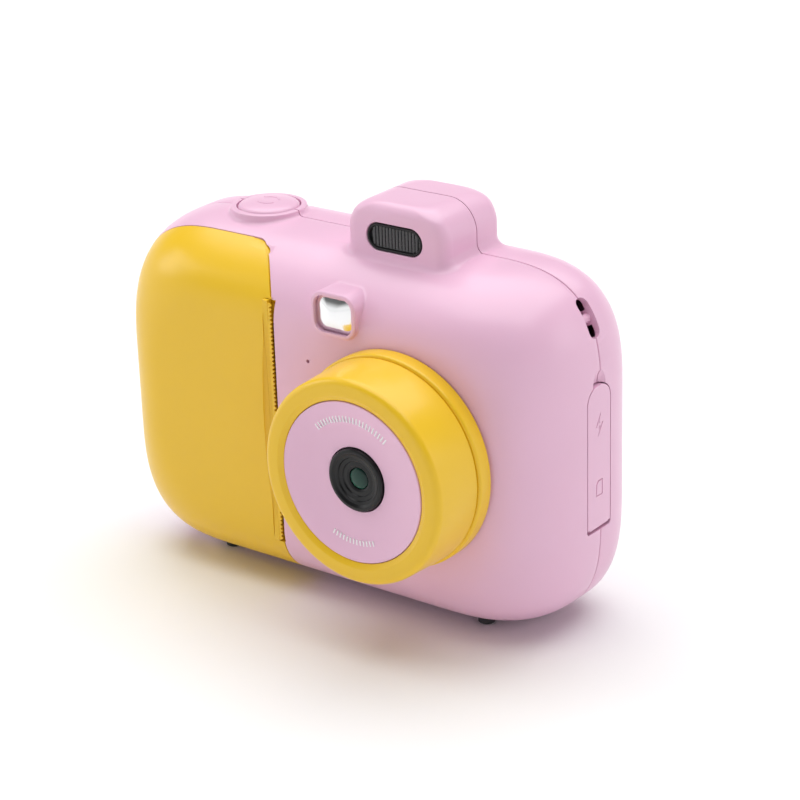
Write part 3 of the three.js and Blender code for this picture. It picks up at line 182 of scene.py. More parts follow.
class Shader:
    """One material's node tree, with a Principled shader at its end."""

    def __init__(self, name: str) -> None:
        """Makes an empty node material.

        Args:
            name: the material's name.
        """
        self.material = bpy.data.materials.new(name)
        self.material.use_nodes = True
        self.nodes = self.material.node_tree.nodes
        self.links = self.material.node_tree.links
        self.surface = next(n for n in self.nodes if n.type == "BSDF_PRINCIPLED")
        self.place = self.node("ShaderNodeTexCoord", {}, {}, "Object")

    def node(
        self, kind: str, settings: dict[str, Any], inputs: dict[Any, Any], output: Any = 0
    ) -> Value:
        """Adds a node.

        Args:
            kind: the node's type.
            settings: properties set first; "stops" is a colour ramp's list of (place, colour).
            inputs: socket name or number to a value or another node's Value.
            output: name or number of the output wanted.

        Returns:
            That output as a Value.
        """
        made = self.nodes.new(kind)
        for name, value in settings.items():
            if name == "stops":
                self._ramp(made, value)
            else:
                setattr(made, name, value)
        for socket, value in inputs.items():
            self.feed(made.inputs[socket], value)
        return Value(self, made.outputs[output])

    def feed(self, socket: Any, value: Any) -> None:
        """Links a Value into a socket, or sets a plain number or colour on it.

        Args:
            socket: the socket to fill.
            value: a Value, a number or a colour.
        """
        if isinstance(value, Value):
            self.links.new(value.socket, socket)
        else:
            socket.default_value = value

    @staticmethod
    def _ramp(node: Any, stops: Sequence[tuple[float, tuple[float, ...]]]) -> None:
        """Gives a colour ramp its stops.

        Args:
            node: the colour ramp.
            stops: its (place, colour) pairs.
        """
        elements = node.color_ramp.elements
        while len(elements) < len(stops):
            elements.new(0.5)
        for element, (place, colour) in zip(elements, stops):
            element.position = place
            element.color = colour

    def noise(self, size: float, detail: float = 3.0, rough: float = 0.5) -> Value:
        """Noise from 0 to 1 whose blotches are about size metres across."""
        inputs = {"Vector": self.place, "Scale": 1.0 / size, "Detail": detail, "Roughness": rough}
        return self.node("ShaderNodeTexNoise", {}, inputs, 0)

    def mix(self, share: Any, low: Any, high: Any) -> Value:
        """A colour between two colours."""
        inputs = {0: share, 6: low, 7: high}
        return self.node("ShaderNodeMix", {"data_type": "RGBA"}, inputs, 2)

    def bump(self, height: Value, depth: float, strength: float = 1.0) -> Value:
        """A Normal that follows a height, depth metres from its lowest to its highest."""
        inputs = {"Strength": strength, "Distance": depth, "Height": height}
        return self.node("ShaderNodeBump", {}, inputs, "Normal")

    def put(self, **sockets: Any) -> None:
        """Sets sockets of the Principled shader; Base_Color stands for Base Color."""
        for name, value in sockets.items():
            self.feed(self.surface.inputs[name.replace("_", " ")], value)


Colour = tuple[float, float, float]


def rgba(colour: Colour, scale: float = 1.0) -> tuple[float, float, float, float]:
    """A colour with full alpha, its channels times a scale."""
    return (*(min(1.0, c * scale) for c in colour), 1.0)


@dataclass(frozen=True)
class Moulded:
    """Moulded plastic: a fine spark-eroded texture, slight colour drift and faint handling marks."""

    colour: Colour
    roughness: float = 0.36
    grain: float = 0.00035
    depth: float = 0.000006
    coat: float = 0.0
    scatter: float = 0.0
    shine: float = 0.5

    def dress(self, shader: Shader) -> None:
        """Builds the finish.

        Args:
            shader: the material's tree.
        """
        drift = shader.noise(0.03, 2.0)
        grain = shader.noise(self.grain, 2.0, 0.6)
        wear = shader.noise(0.006, 5.0, 0.65).between(0.45, 0.75)
        colour = shader.mix(drift, rgba(self.colour, 0.97), rgba(self.colour, 1.03))
        shader.put(
            Base_Color=colour,
            Roughness=self.roughness + wear * 0.06 + (grain - 0.5) * 0.05,
            Normal=shader.bump(grain, self.depth),
            Coat_Weight=self.coat,
            Coat_Roughness=0.12,
            IOR=1.47,
            Specular_IOR_Level=self.shine,
        )
        if self.scatter:
            shader.put(Subsurface_Weight=self.scatter, Subsurface_Scale=0.0012)
            shader.put(Subsurface_Radius=(1.0, 0.6, 0.5))


@dataclass(frozen=True)
class Metal:
    """Rolled, plated or drawn metal with fine scratches along one axis."""

    colour: Colour
    roughness: float = 0.28
    scratch: Point = (0.0002, 0.004, 0.0002)
    depth: float = 0.000004

    def dress(self, shader: Shader) -> None:
        """Builds the finish.

        Args:
            shader: the material's tree.
        """
        scale = tuple(0.001 / s for s in self.scratch)
        stretched = shader.node("ShaderNodeMapping", {}, {"Vector": shader.place, "Scale": scale})
        inputs = {"Vector": stretched, "Scale": 1000.0, "Detail": 4.0}
        lines = shader.node("ShaderNodeTexNoise", {}, inputs, 0)
        smudge = shader.noise(0.004, 4.0)
        shader.put(
            Base_Color=shader.mix(smudge, rgba(self.colour, 0.9), rgba(self.colour)),
            Roughness=self.roughness + lines * 0.12,
            Metallic=1.0,
            Normal=shader.bump(lines, self.depth),
        )


@dataclass(frozen=True)
class Clear:
    """Glass or clear plastic over something dark, or printed black behind; an optional painted
    reflection turns its colour towards a second colour at glancing angles.
    """

    colour: Colour
    roughness: float = 0.04
    see_through: float = 0.0
    coat: float = 1.0
    # painted reflection: the colour that the surface turns to at glancing angles, standing in for a
    # coloured reflection
    painted_reflection_tint: Colour | None = None
    shine: float = 0.5

    def dress(self, shader: Shader) -> None:
        """Builds the finish.

        Args:
            shader: the material's tree.
        """
        smudge = shader.noise(0.008, 4.0).between(0.5, 0.8)
        colour: Any = rgba(self.colour)
        # painted reflection: the base colour blends towards the reflection colour where the surface
        # turns away from view
        if self.painted_reflection_tint:
            inputs = {"Blend": 0.35}
            rim = shader.node("ShaderNodeLayerWeight", {}, inputs, "Facing")
            colour = shader.mix(rim, rgba(self.colour), rgba(self.painted_reflection_tint))
        shader.put(
            Base_Color=colour,
            Roughness=self.roughness + smudge * 0.05,
            Transmission_Weight=self.see_through,
            Coat_Weight=self.coat,
            Coat_Roughness=0.03,
            IOR=1.5,
            Specular_IOR_Level=self.shine,
        )


@dataclass(frozen=True)
class Rubber:
    """Matt rubber with a ground surface."""

    colour: Colour = (0.035, 0.035, 0.038)

    def dress(self, shader: Shader) -> None:
        """Builds the finish.

        Args:
            shader: the material's tree.
        """
        ground = shader.noise(0.0004, 5.0, 0.7)
        shader.put(
            Base_Color=shader.mix(ground, rgba(self.colour, 0.8), rgba(self.colour, 1.5)),
            Roughness=0.7 + ground * 0.2,
            Normal=shader.bump(ground, 0.00002),
        )


@dataclass(frozen=True)
class Paper:
    """Coated thermal paper with a fine fibre texture; the lines of its wound edge are in the roll's
    shape.
    """

    colour: Colour = (0.86, 0.84, 0.79)

    def dress(self, shader: Shader) -> None:
        """Builds the finish.

        Args:
            shader: the material's tree.
        """
        fibre = shader.noise(0.0006, 6.0, 0.7)
        shader.put(
            Base_Color=shader.mix(fibre, rgba(self.colour, 0.93), rgba(self.colour, 1.04)),
            Roughness=0.55 + fibre * 0.15,
            Normal=shader.bump(fibre, 0.00001),
        )


@dataclass(frozen=True)
class Circuit:
    """Green solder mask with rows of copper tracks and tinned pads."""

    mask: Colour = (0.012, 0.09, 0.035)
    track: Colour = (0.03, 0.17, 0.06)

    def dress(self, shader: Shader) -> None:
        """Builds the finish.

        Args:
            shader: the material's tree.
        """
        inputs = {"Vector": shader.place, "Scale": 420.0, "Distortion": 2.2, "Detail": 1.0}
        lines = shader.node("ShaderNodeTexWave", {}, inputs, "Fac").between(0.55, 0.62)
        cells = {"Vector": shader.place, "Scale": 330.0}
        spots = shader.node("ShaderNodeTexVoronoi", {}, cells, "Distance")
        pads = 1.0 - spots.between(0.16, 0.2)
        board = shader.mix(lines, rgba(self.mask), rgba(self.track))
        shader.put(
            Base_Color=shader.mix(pads, board, (0.72, 0.7, 0.66, 1.0)),
            Roughness=0.32 + lines * 0.1,
            Metallic=pads,
            Normal=shader.bump(lines + pads, 0.00003),
        )


PINK = Moulded((0.820, 0.505, 0.670), 0.33, coat=0.12, scatter=0.04)
YELLOW = Moulded((0.860, 0.535, 0.016), 0.32, coat=0.08)
BLACK = Moulded((0.009, 0.009, 0.010), 0.30, coat=0.04, shine=0.3)

FINISHES: dict[Slot, Any] = {
    Slot.PINK: PINK,
    Slot.YELLOW: YELLOW,
    Slot.BLACK: BLACK,
    # the lens glass gets a painted teal reflection towards its glancing edge
    Slot.LENS_GLASS: Clear((0.002, 0.016, 0.014), 0.03, coat=0.0, painted_reflection_tint=(0.03, 0.16, 0.10), shine=0.3),
    Slot.FLASH_LENS: Clear((0.030, 0.030, 0.034), 0.06, see_through=0.25, coat=0.4),
    Slot.SCREEN: Clear((0.006, 0.006, 0.008), 0.04, coat=0.0, shine=0.35),
    Slot.BOARD: Circuit(),
    Slot.CUP: Metal((0.88, 0.88, 0.9), 0.08),
    Slot.MIRROR: Metal((0.93, 0.93, 0.94), 0.09, depth=0.0000002),
    Slot.LED: Moulded((0.93, 0.72, 0.10), 0.25, coat=0.5),
    Slot.STEEL: Metal((0.56, 0.57, 0.59), 0.26),
    Slot.RUBBER: Rubber(),
    Slot.GEAR: Moulded((0.78, 0.74, 0.62), 0.42, scatter=0.1),
    Slot.HEAD: Moulded((0.06, 0.055, 0.05), 0.15, coat=0.8),
    Slot.PAPER: Paper(),
    Slot.GREY: Moulded((0.09, 0.095, 0.10), 0.5),
    Slot.FOIL: Metal((0.52, 0.60, 0.70), 0.35, scratch=(0.002, 0.002, 0.002), depth=0.00003),
    Slot.PANEL: Metal((0.42, 0.43, 0.45), 0.35),
}
PRINT = Moulded((0.93, 0.90, 0.92), 0.4)


class Finishes:
    """Makes each material once."""

    def __init__(self) -> None:
        """Starts with none made."""
        self.made: dict[str, Any] = {}

    def get(self, name: str, finish: Any) -> Any:
        """The material of a finish, made the first time.

        Args:
            name: the material's name.
            finish: the finish that dresses it.

        Returns:
            The material.
        """
        if name not in self.made:
            shader = Shader(name)
            finish.dress(shader)
            self.made[name] = shader.material
        return self.made[name]

    def slot(self, slot: Slot) -> Any:
        """The material of a record slot."""
        return self.get(slot.value, FINISHES[slot])


finishes = Finishes()

# ---------------------------------------------------------------- solids


@dataclass
class Form:
    """A closed solid in the camera's own millimetres."""

    points: np.ndarray
    faces: list[tuple[int, ...]]

    def outward(self) -> "Form":
        """The same solid with its faces turned to point outwards.

        Returns:
            The solid itself.
        """
        total = 0.0
        for face in self.faces:
            a = self.points[face[0]]
            for b, c in zip(face[1:-1], face[2:]):
                total += float(np.dot(a, np.cross(self.points[b], self.points[c])))
        if total < 0:
            self.faces = [tuple(reversed(face)) for face in self.faces]
        return self

    def mesh(self, name: str, scale: float = 1.0) -> Any:
        """A Blender mesh of the solid.

        Args:
            name: the mesh's name.
            scale: what its points are multiplied by.

        Returns:
            The mesh.
        """
        made = bpy.data.meshes.new(name)
        made.from_pydata((self.points * scale).tolist(), [], self.faces)
        made.update()
        return made

    def moved(self, matrix: Matrix) -> "Form":
        """The solid put through a matrix."""
        turned = np.array(matrix.to_3x3()) @ self.points.T
        return Form(turned.T + np.array(matrix.translation), list(self.faces))

    def with_(self, how: How, *tools: "Form") -> "Form":
        """Cuts, joins or meets this solid with others, one after another.

        Args:
            how: the operation.
            tools: the other solids.

        Returns:
            The result as a new solid.
        """
        target = scratch(self)
        others = [scratch(tool) for tool in tools]
        for other in others:
            modifier = target.modifiers.new("step", "BOOLEAN")
            modifier.operation = how.value
            modifier.solver = "MANIFOLD"
            modifier.object = other
        result = evaluated_mesh(target)
        made = form_of(result)
        bpy.data.meshes.remove(result)
        for used in (target, *others):
            drop(used)
        return made

    def cut(self, *tools: "Form") -> "Form":
        """What is left after cutting tools away."""
        return self.with_(How.CUT, *tools)

    def join(self, *others: "Form") -> "Form":
        """This solid and others as one."""
        return self.with_(How.JOIN, *others)

    def meet(self, other: "Form") -> "Form":
        """What this solid and another share."""
        return self.with_(How.MEET, other)


def scratch(form: Form) -> Any:
    """A throwaway object for one operation.

    Args:
        form: the solid.

    Returns:
        The object, linked into the scene.
    """
    made = bpy.data.objects.new("scratch", form.mesh("scratch"))
    bpy.context.scene.collection.objects.link(made)
    return made


def drop(obj: Any) -> None:
    """Removes an object and its mesh.

    Args:
        obj: the object to remove.
    """
    mesh = obj.data
    bpy.data.objects.remove(obj)
    bpy.data.meshes.remove(mesh)


def evaluated_mesh(obj: Any) -> Any:
    """The mesh of an object with its modifiers applied.

    Args:
        obj: the object.

    Returns:
        A new plain mesh.
    """
    graph = bpy.context.evaluated_depsgraph_get()
    graph.update()
    return bpy.data.meshes.new_from_object(obj.evaluated_get(graph))


def form_of(mesh: Any) -> Form:
    """A Blender mesh as a solid.

    Args:
        mesh: the mesh.

    Returns:
        The solid.
    """
    points = np.zeros(len(mesh.vertices) * 3)
    mesh.vertices.foreach_get("co", points)
    return Form(points.reshape(-1, 3), [tuple(p.vertices) for p in mesh.polygons])


def arc(centre: Sequence[float], radius: float, start: float, end: float, steps: int) -> list:
    """Points along an arc in degrees."""
    turns = np.radians(np.linspace(start, end, steps + 1))
    return [(centre[0] + radius * math.cos(t), centre[1] + radius * math.sin(t)) for t in turns]


def rounded(corners: Iterable[Sequence[float]], steps: int = 6) -> Outline:
    """A closed outline whose corners are rounded.

    Args:
        corners: (a, b, radius) for each corner; a radius of 0 keeps it sharp.
        steps: pieces in each round.

    Returns:
        The outline's points in order.
    """
    given = [tuple(c) for c in corners]
    out: list[np.ndarray] = []
    for i, (a, b, radius) in enumerate(given):
        here = np.array([a, b], float)
        before = np.array(given[i - 1][:2], float)
        after = np.array(given[(i + 1) % len(given)][:2], float)
        if radius <= 0:
            out.append(here)
            continue
        u = (before - here) / np.linalg.norm(before - here)
        v = (after - here) / np.linalg.norm(after - here)
        half = math.acos(max(-1.0, min(1.0, float(u @ v)))) / 2
        reach = radius / math.tan(half)
        centre = here + (u + v) / np.linalg.norm(u + v) * radius / math.sin(half)
        first, last = here + u * reach - centre, here + v * reach - centre
        sweep = math.pi - 2 * half
        side = math.copysign(1.0, first[0] * last[1] - first[1] * last[0])
        for k in range(steps + 1):
            turn = side * sweep * k / steps
            c, s = math.cos(turn), math.sin(turn)
            out.append(centre + np.array([c * first[0] - s * first[1], s * first[0] + c * first[1]]))
    return np.array(out)


def rectangle(
    centre: Sequence[float], width: float, height: float, corner: float, steps: int = 8
) -> Outline:
    """A rectangle with round corners.

    Args:
        centre: its middle.
        width: size along the first axis.
        height: size along the second axis.
        corner: radius of its corners.
        steps: pieces in each corner.

    Returns:
        The outline, counter-clockwise.
    """
    (a, b), w, h = centre, width / 2, height / 2
    r = min(corner, w - 0.01, h - 0.01)
    return rounded([(a + w, b - h, r), (a + w, b + h, r), (a - w, b + h, r), (a - w, b - h, r)], steps)


def inset(outline: Outline, by: float) -> Outline:
    """An outline, counter-clockwise, drawn in by a distance.

    Args:
        outline: the outline.
        by: the distance; below 0 it grows.

    Returns:
        The new outline.
    """
    if by == 0:
        return outline
    before, after = np.roll(outline, 1, 0), np.roll(outline, -1, 0)
    along = after - before
    along /= np.linalg.norm(along, axis=1, keepdims=True)
    return outline + np.stack([-along[:, 1], along[:, 0]], 1) * by


def lifted(outline: Outline, at: float, along: Along) -> np.ndarray:
    """A flat outline at a place along an axis, as points in space.

    Args:
        outline: the flat outline.
        at: its place along the axis, one number or one for each point.
        along: the axis.

    Returns:
        The points.
    """
    flat = np.full(len(outline), at)
    a, b = outline[:, 0], outline[:, 1]
    columns = {Along.X: (flat, a, b), Along.Y: (a, flat, b), Along.Z: (a, b, flat)}[along]
    return np.stack(columns, 1)


def loft(rings: Sequence[np.ndarray], closed: bool = False) -> Form:
    """A solid through rings of equal length, with flat ends unless it closes on itself.

    Args:
        rings: the rings in order.
        closed: whether the last ring joins the first.

    Returns:
        The solid.
    """
    count, n = len(rings), len(rings[0])
    faces: list[tuple[int, ...]] = []
    for i in range(count if closed else count - 1):
        low, high = i * n, (i + 1) % count * n
        faces += [(low + j, low + (j + 1) % n, high + (j + 1) % n, high + j) for j in range(n)]
    if not closed:
        faces.append(tuple(reversed(range(n))))
        faces.append(tuple(range((count - 1) * n, count * n)))
    return Form(np.concatenate(rings), faces).outward()


def prism(
    outline: Outline, low: float, high: float, along: Along, edge: float = 0.0, steps: int = 3
) -> Form:
    """An outline run along an axis, its end rims rounded by edge.

    Args:
        outline: the outline, counter-clockwise.
        low: its first end.
        high: its other end.
        along: the axis.
        edge: the round of its end rims.
        steps: pieces in that round.

    Returns:
        The solid.
    """
    if edge <= 0:
        return loft([lifted(outline, low, along), lifted(outline, high, along)])
    turns = [math.pi / 2 * k / steps for k in range(steps + 1)]
    start = [(edge * (1 - math.sin(t)), low + edge * (1 - math.cos(t))) for t in turns]
    end = [(by, high + low - at) for by, at in reversed(start)]
    return loft([lifted(inset(outline, by), at, along) for by, at in start + end])


def turned(profile: Outline, centre: Sequence[float], along: Along, sides: int = 96) -> Form:
    """A profile of (radius, place) turned round an axis through centre.

    Args:
        profile: a closed outline, or one that starts and ends on the axis.
        centre: the axis's two other coordinates.
        along: the axis's direction.
        sides: steps of a full turn.

    Returns:
        The turned solid, with one point at each pole.
    """
    points: list[Point] = []
    rings: list[list[int]] = []
    for radius, at in profile:
        steps = 1 if radius < 1e-6 else sides
        ring = []
        for k in range(steps):
            turn = 2 * math.pi * k / sides
            a, b = centre[0] + radius * math.cos(turn), centre[1] + radius * math.sin(turn)
            place = {Along.X: (at, a, b), Along.Y: (a, at, b), Along.Z: (a, b, at)}[along]
            ring.append(len(points))
            points.append(place)
        rings.append(ring)
    open_ended = profile[0][0] < 1e-6 and profile[-1][0] < 1e-6
    pairs = list(zip(rings, rings[1:])) + ([] if open_ended else [(rings[-1], rings[0])])
    faces: list[tuple[int, ...]] = []
    for low, high in pairs:
        for k in range(sides):
            near = [low[i % len(low)] for i in (k, k + 1)]
            quad = (*near, *(high[i % len(high)] for i in (k + 1, k)))
            face = tuple(dict.fromkeys(quad))
            if len(face) > 2:
                faces.append(face)
    return Form(np.array(points), faces).outward()


def bar(
    centre: Sequence[float], radius: float, low: float, high: float, along: Along, sides: int = 48
) -> Form:
    """A round bar."""
    return turned(np.array([(0, low), (radius, low), (radius, high), (0, high)]), centre, along, sides)


def box(low: Sequence[float], high: Sequence[float]) -> Form:
    """A box between two corners."""
    outline = np.array([(low[0], low[1]), (high[0], low[1]), (high[0], high[1]), (low[0], high[1])])
    return prism(outline, low[2], high[2], Along.Z)


def ball(centre: Sequence[float], radii: Sequence[float], sides: int = 48) -> Form:
    """An ellipsoid.

    Args:
        centre: its middle.
        radii: its three radii.
        sides: steps of a full turn.

    Returns:
        The solid.
    """
    half = [(math.sin(math.pi * k / 24), math.cos(math.pi * k / 24)) for k in range(25)]
    profile = np.array(half)
    profile[0, 0] = profile[-1, 0] = 0.0
    form = turned(profile, (0.0, 0.0), Along.Z, sides)
    form.points = form.points * np.array(radii) + np.array(centre)
    return form


# ---------------------------------------------------------------- pieces


@dataclass(frozen=True)
class Datum:
    """Where the camera's own zero lies in the frame, in millimetres."""

    parting_y: float
    centre_z: float

    @classmethod
    def from_frame(cls, half_height: float) -> "Datum":
        """Reads the parting plane and the underside from the two casing halves.

        Args:
            half_height: half the casing's height.

        Returns:
            The datum.
        """
        front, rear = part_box("front_casing"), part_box("rear_casing")
        parting = (front[1].y + rear[0].y) / 2 / MM
        return cls(parting, rear[0].z / MM + half_height)

    def local(self, point: Vector) -> np.ndarray:
        """A point of the frame in the camera's own millimetres."""
        return np.array(point) / MM - np.array([0.0, self.parting_y, self.centre_z])

    def box(self, node: str) -> tuple[np.ndarray, np.ndarray]:
        """The lowest and highest corner of a node, in the camera's own millimetres."""
        low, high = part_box(node)
        return self.local(low), self.local(high)


@dataclass(frozen=True)
class CasingForm:
    """The outer form: an upright rounded outline that draws in towards the front."""

    half_width: float = 62.2
    half_height: float = 42.2
    corner: float = 28.6
    corner_power: float = 3.0
    corner_shrink: float = 0.32
    front_depth: float = 26.2
    front_inset: float = 17.1
    front_power: float = 2.25
    rear_depth: float = 18.9
    rear_fillet: float = 14.0

    def shrunk(self, by: float) -> "CasingForm":
        """The form of a wall's inner side.

        Args:
            by: the wall's thickness.

        Returns:
            The inner form.
        """
        outline = {"half_width": self.half_width - by, "half_height": self.half_height - by}
        front = {"front_depth": self.front_depth - by, "front_inset": self.front_inset - by}
        rear = {"rear_depth": self.rear_depth - by, "rear_fillet": self.rear_fillet - by}
        return CasingForm(corner=self.corner - by, **outline, **front, **rear)

    def inset_at(self, depth: float) -> float:
        """How far the outline has drawn in at a depth in front of the parting plane.

        Args:
            depth: distance in front of the parting plane.

        Returns:
            The distance drawn in.
        """
        share = min(max(depth / self.front_depth, 0.0), 1.0)
        p = self.front_power
        return self.front_inset * (1 - (1 - share**p) ** (1 / p))

    def depth_at(self, inset_by: float) -> float:
        """How deep the surface lies where the outline has drawn in by a distance.

        Args:
            inset_by: the distance drawn in.

        Returns:
            Distance in front of the parting plane.
        """
        share = min(max(inset_by / self.front_inset, 0.0), 1.0)
        p = self.front_power
        return self.front_depth * (1 - (1 - share) ** p) ** (1 / p)

    def height_at(self, y: float) -> float:
        """Height of the top at a depth from the parting plane.

        Args:
            y: place along the depth.

        Returns:
            The height of the top there.
        """
        if y < 0:
            return self.half_height - self.inset_at(-y)
        past = max(y - (self.rear_depth - self.rear_fillet), 0.0)
        return self.half_height - self.rear_fillet + math.sqrt(self.rear_fillet**2 - past**2)

    def ring(self, by: float, y: float, steps: int = 26, sides: int = 8) -> np.ndarray:
        """The outline drawn in by a distance, with points along its straight sides too.

        Args:
            by: the distance drawn in.
            y: the ring's depth.
            steps: pieces in each corner.
            sides: pieces in each straight side.

        Returns:
            The ring's points.
        """
        size = self.corner - by * self.corner_shrink
        cx, cz = self.half_width - by - size, self.half_height - by - size
        points: list[Point] = []
        signs = ((1, 1), (-1, 1), (-1, -1), (1, -1))
        for quarter, (sx, sz) in enumerate(signs):
            corner = []
            for i in range(steps + 1):
                turn = (quarter + i / steps) * math.pi / 2
                c, s = math.cos(turn), math.sin(turn)
                x = math.copysign(abs(c) ** (2 / self.corner_power), c) * size + sx * cx
                z = math.copysign(abs(s) ** (2 / self.corner_power), s) * size + sz * cz
                corner.append((x, y, z))
            points += corner
            nx, nz = signs[(quarter + 1) % 4]
            across = quarter % 2 == 0
            end = (corner[-1][0] if not across else nx * cx, y, corner[-1][2] if across else nz * cz)
            for i in range(1, sides):
                share = i / sides
                points.append(tuple(a + (b - a) * share for a, b in zip(corner[-1], end)))
        return np.array(points)

    def front(self, start: float, edge: float, rings: int = 40) -> Form:
        """The solid ahead of a depth, its rear rim rounded by edge.

        Args:
            start: where it starts, in front of the parting plane.
            edge: the round of its rear rim.
            rings: rings over its curve.

        Returns:
            The solid.
        """
        rows = []
        for k in range(4 if edge else 1):
            turn = math.pi / 2 * k / 3
            y = -start - edge * (1 - math.cos(turn)) if edge else -start
            by = edge * (1 - math.sin(turn))
            rows.append(self.ring(by + self.inset_at(-y), y))
        for k in range(1, rings + 1):
            turn = math.pi / 2 * k / rings
            y = -self.front_depth * math.sin(turn) ** (2 / self.front_power)
            if y < -start - edge - 0.4:
                by = self.front_inset * (1 - max(math.cos(turn), 0.0) ** (2 / self.front_power))
                rows.append(self.ring(by, y))
        return loft(rows)

    def rear(self, start: float, edge: float, rings: int = 22) -> Form:
        """The solid behind a depth, its front rim rounded by edge.

        Args:
            start: where it starts, behind the parting plane.
            edge: the round of its front rim.
            rings: rings over its curve.

        Returns:
            The solid.
        """
        rows = []
        for k in range(4 if edge else 1):
            turn = math.pi / 2 * k / 3
            rows.append(self.ring(edge * (1 - math.sin(turn)), start + edge * (1 - math.cos(turn))))
        for k in range(rings + 1):
            turn = math.pi / 2 * k / rings
            y = self.rear_depth - self.rear_fillet * (1 - math.sin(turn))
            rows.append(self.ring(self.rear_fillet * (1 - math.cos(turn)), y))
        return loft(rows)


CASING = CasingForm()
INNER = CASING.shrunk(WALL)
FOOT_STEPS = 9
SEAM_DEPTH = 13.4
DATUM = Datum.from_frame(CASING.half_height)
FRONT_Y = -CASING.front_depth
SEAM_LINE = GAP / 2


def add_piece(
    name: str,
    form: Form,
    body: Body,
    slot: Slot,
    replaces: Sequence[str] = (),
    material: Any = None,
    sharp: float = 32.0,
) -> Any:
    """Puts a finished solid into the scene.

    Args:
        name: the piece's name.
        form: its solid, in the camera's own millimetres.
        body: the moving group that it rides on.
        slot: the record's material slot.
        replaces: CAD nodes that it stands for.
        material: its material, if not the slot's own.
        sharp: edges that turn by more than this many degrees stay sharp.

    Returns:
        The new object.
    """
    shift = np.array([0.0, DATUM.parting_y, DATUM.centre_z])
    mesh = Form(form.points + shift, form.faces).mesh(name, MM)
    shell = bmesh.new()
    shell.from_mesh(mesh)
    bmesh.ops.remove_doubles(shell, verts=shell.verts, dist=0.000002)
    bmesh.ops.dissolve_degenerate(shell, edges=shell.edges, dist=0.000001)
    limit = math.radians(sharp)
    for face in shell.faces:
        face.smooth = True
    for edge in shell.edges:
        edge.smooth = len(edge.link_faces) == 2 and edge.calc_face_angle(0.0) < limit
    shell.to_mesh(mesh)
    shell.free()
    made = bpy.data.objects.new(name, mesh)
    bpy.context.scene.collection.objects.link(made)
    mesh.materials.append(material or finishes.slot(slot))
    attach(made, body.value)
    if replaces:
        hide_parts(*replaces)
    log.info("%s: %d faces, on %s", name, len(mesh.polygons), body.value)
    return made


# ---------------------------------------------------------------- rows and arcs of copies


class Pattern:
    """A Geometry Nodes tree that sets copies of one shape along a line or an arc."""

    def __init__(self, name: str, inputs: Sequence[tuple[str, str]]) -> None:
        """Makes the tree with its named inputs and its one output.

        Args:
            name: the tree's name.
            inputs: its inputs as (name, socket type).
        """
        self.tree = bpy.data.node_groups.new(name, "GeometryNodeTree")
        face = self.tree.interface
        face.new_socket("Geometry", in_out="INPUT", socket_type="NodeSocketGeometry")
        for label, kind in inputs:
            face.new_socket(label, in_out="INPUT", socket_type=kind)
        face.new_socket("Geometry", in_out="OUTPUT", socket_type="NodeSocketGeometry")
        self.start = self.add("NodeGroupInput")
        self.end = self.add("NodeGroupOutput")

    def add(self, kind: str, inputs: dict[Any, Any] | None = None, **settings: Any) -> Any:
        """Adds a node with its settings, values and links.

        Args:
            kind: the node's type.
            inputs: socket to value or output socket.
            settings: properties set before.

        Returns:
            The node.
        """
        node = self.tree.nodes.new(kind)
        for name, value in settings.items():
            setattr(node, name, value)
        for socket, value in (inputs or {}).items():
            if isinstance(value, bpy.types.NodeSocket):
                self.tree.links.new(value, node.inputs[socket])
            else:
                node.inputs[socket].default_value = value
        return node

    def given(self, label: str) -> Any:
        """The output socket of one named input."""
        return self.start.outputs[label]

    def copies(self, points: Any, turn: Any = None) -> None:
        """Ends the tree: a copy of the shape on each point, made real and given the material.

        Args:
            points: the points' output socket.
            turn: the output socket of their rotation.
        """
        shape = self.add("GeometryNodeObjectInfo", {"Object": self.given("Shape")})
        inputs = {"Points": points, "Instance": shape.outputs["Geometry"]}
        if turn is not None:
            inputs["Rotation"] = turn
        placed = self.add("GeometryNodeInstanceOnPoints", inputs)
        real = self.add("GeometryNodeRealizeInstances", {"Geometry": placed.outputs[0]})
        dressed = self.add(
            "GeometryNodeSetMaterial", {"Geometry": real.outputs[0], "Material": self.given("Material")}
        )
        self.tree.links.new(dressed.outputs[0], self.end.inputs[0])

    def run(self, shape: Form, **values: Any) -> Form:
        """Runs the tree on a shape and gives the copies back as one solid.

        Args:
            shape: the solid to copy, drawn around zero.
            values: the tree's named inputs.

        Returns:
            All the copies.
        """
        source, host = scratch(shape), scratch(shape)
        modifier = host.modifiers.new("pattern", "NODES")
        modifier.node_group = self.tree
        values = {"Shape": source, "Material": finishes.slot(Slot.PINK), **values}
        for item in self.tree.interface.items_tree:
            if item.in_out == "INPUT" and item.name in values:
                modifier[item.identifier] = values[item.name]
        host.update_tag()
        result = evaluated_mesh(host)
        host.modifiers.remove(modifier)
        made = form_of(result)
        bpy.data.meshes.remove(result)
        drop(host)
        drop(source)
        return made


def row_pattern() -> Pattern:
    """Copies in a straight row from Start, each Step further on.

    Returns:
        The pattern.
    """
    pattern = Pattern(
        "row_of_copies",
        [
            ("Shape", "NodeSocketObject"),
            ("Material", "NodeSocketMaterial"),
            ("Count", "NodeSocketInt"),
            ("Start", "NodeSocketVector"),
            ("Step", "NodeSocketVector"),
        ],
    )
    inputs = {"Count": pattern.given("Count"), "Start Location": pattern.given("Start")}
    line = pattern.add("GeometryNodeMeshLine", {**inputs, "Offset": pattern.given("Step")})
    pattern.copies(line.outputs[0])
    return pattern


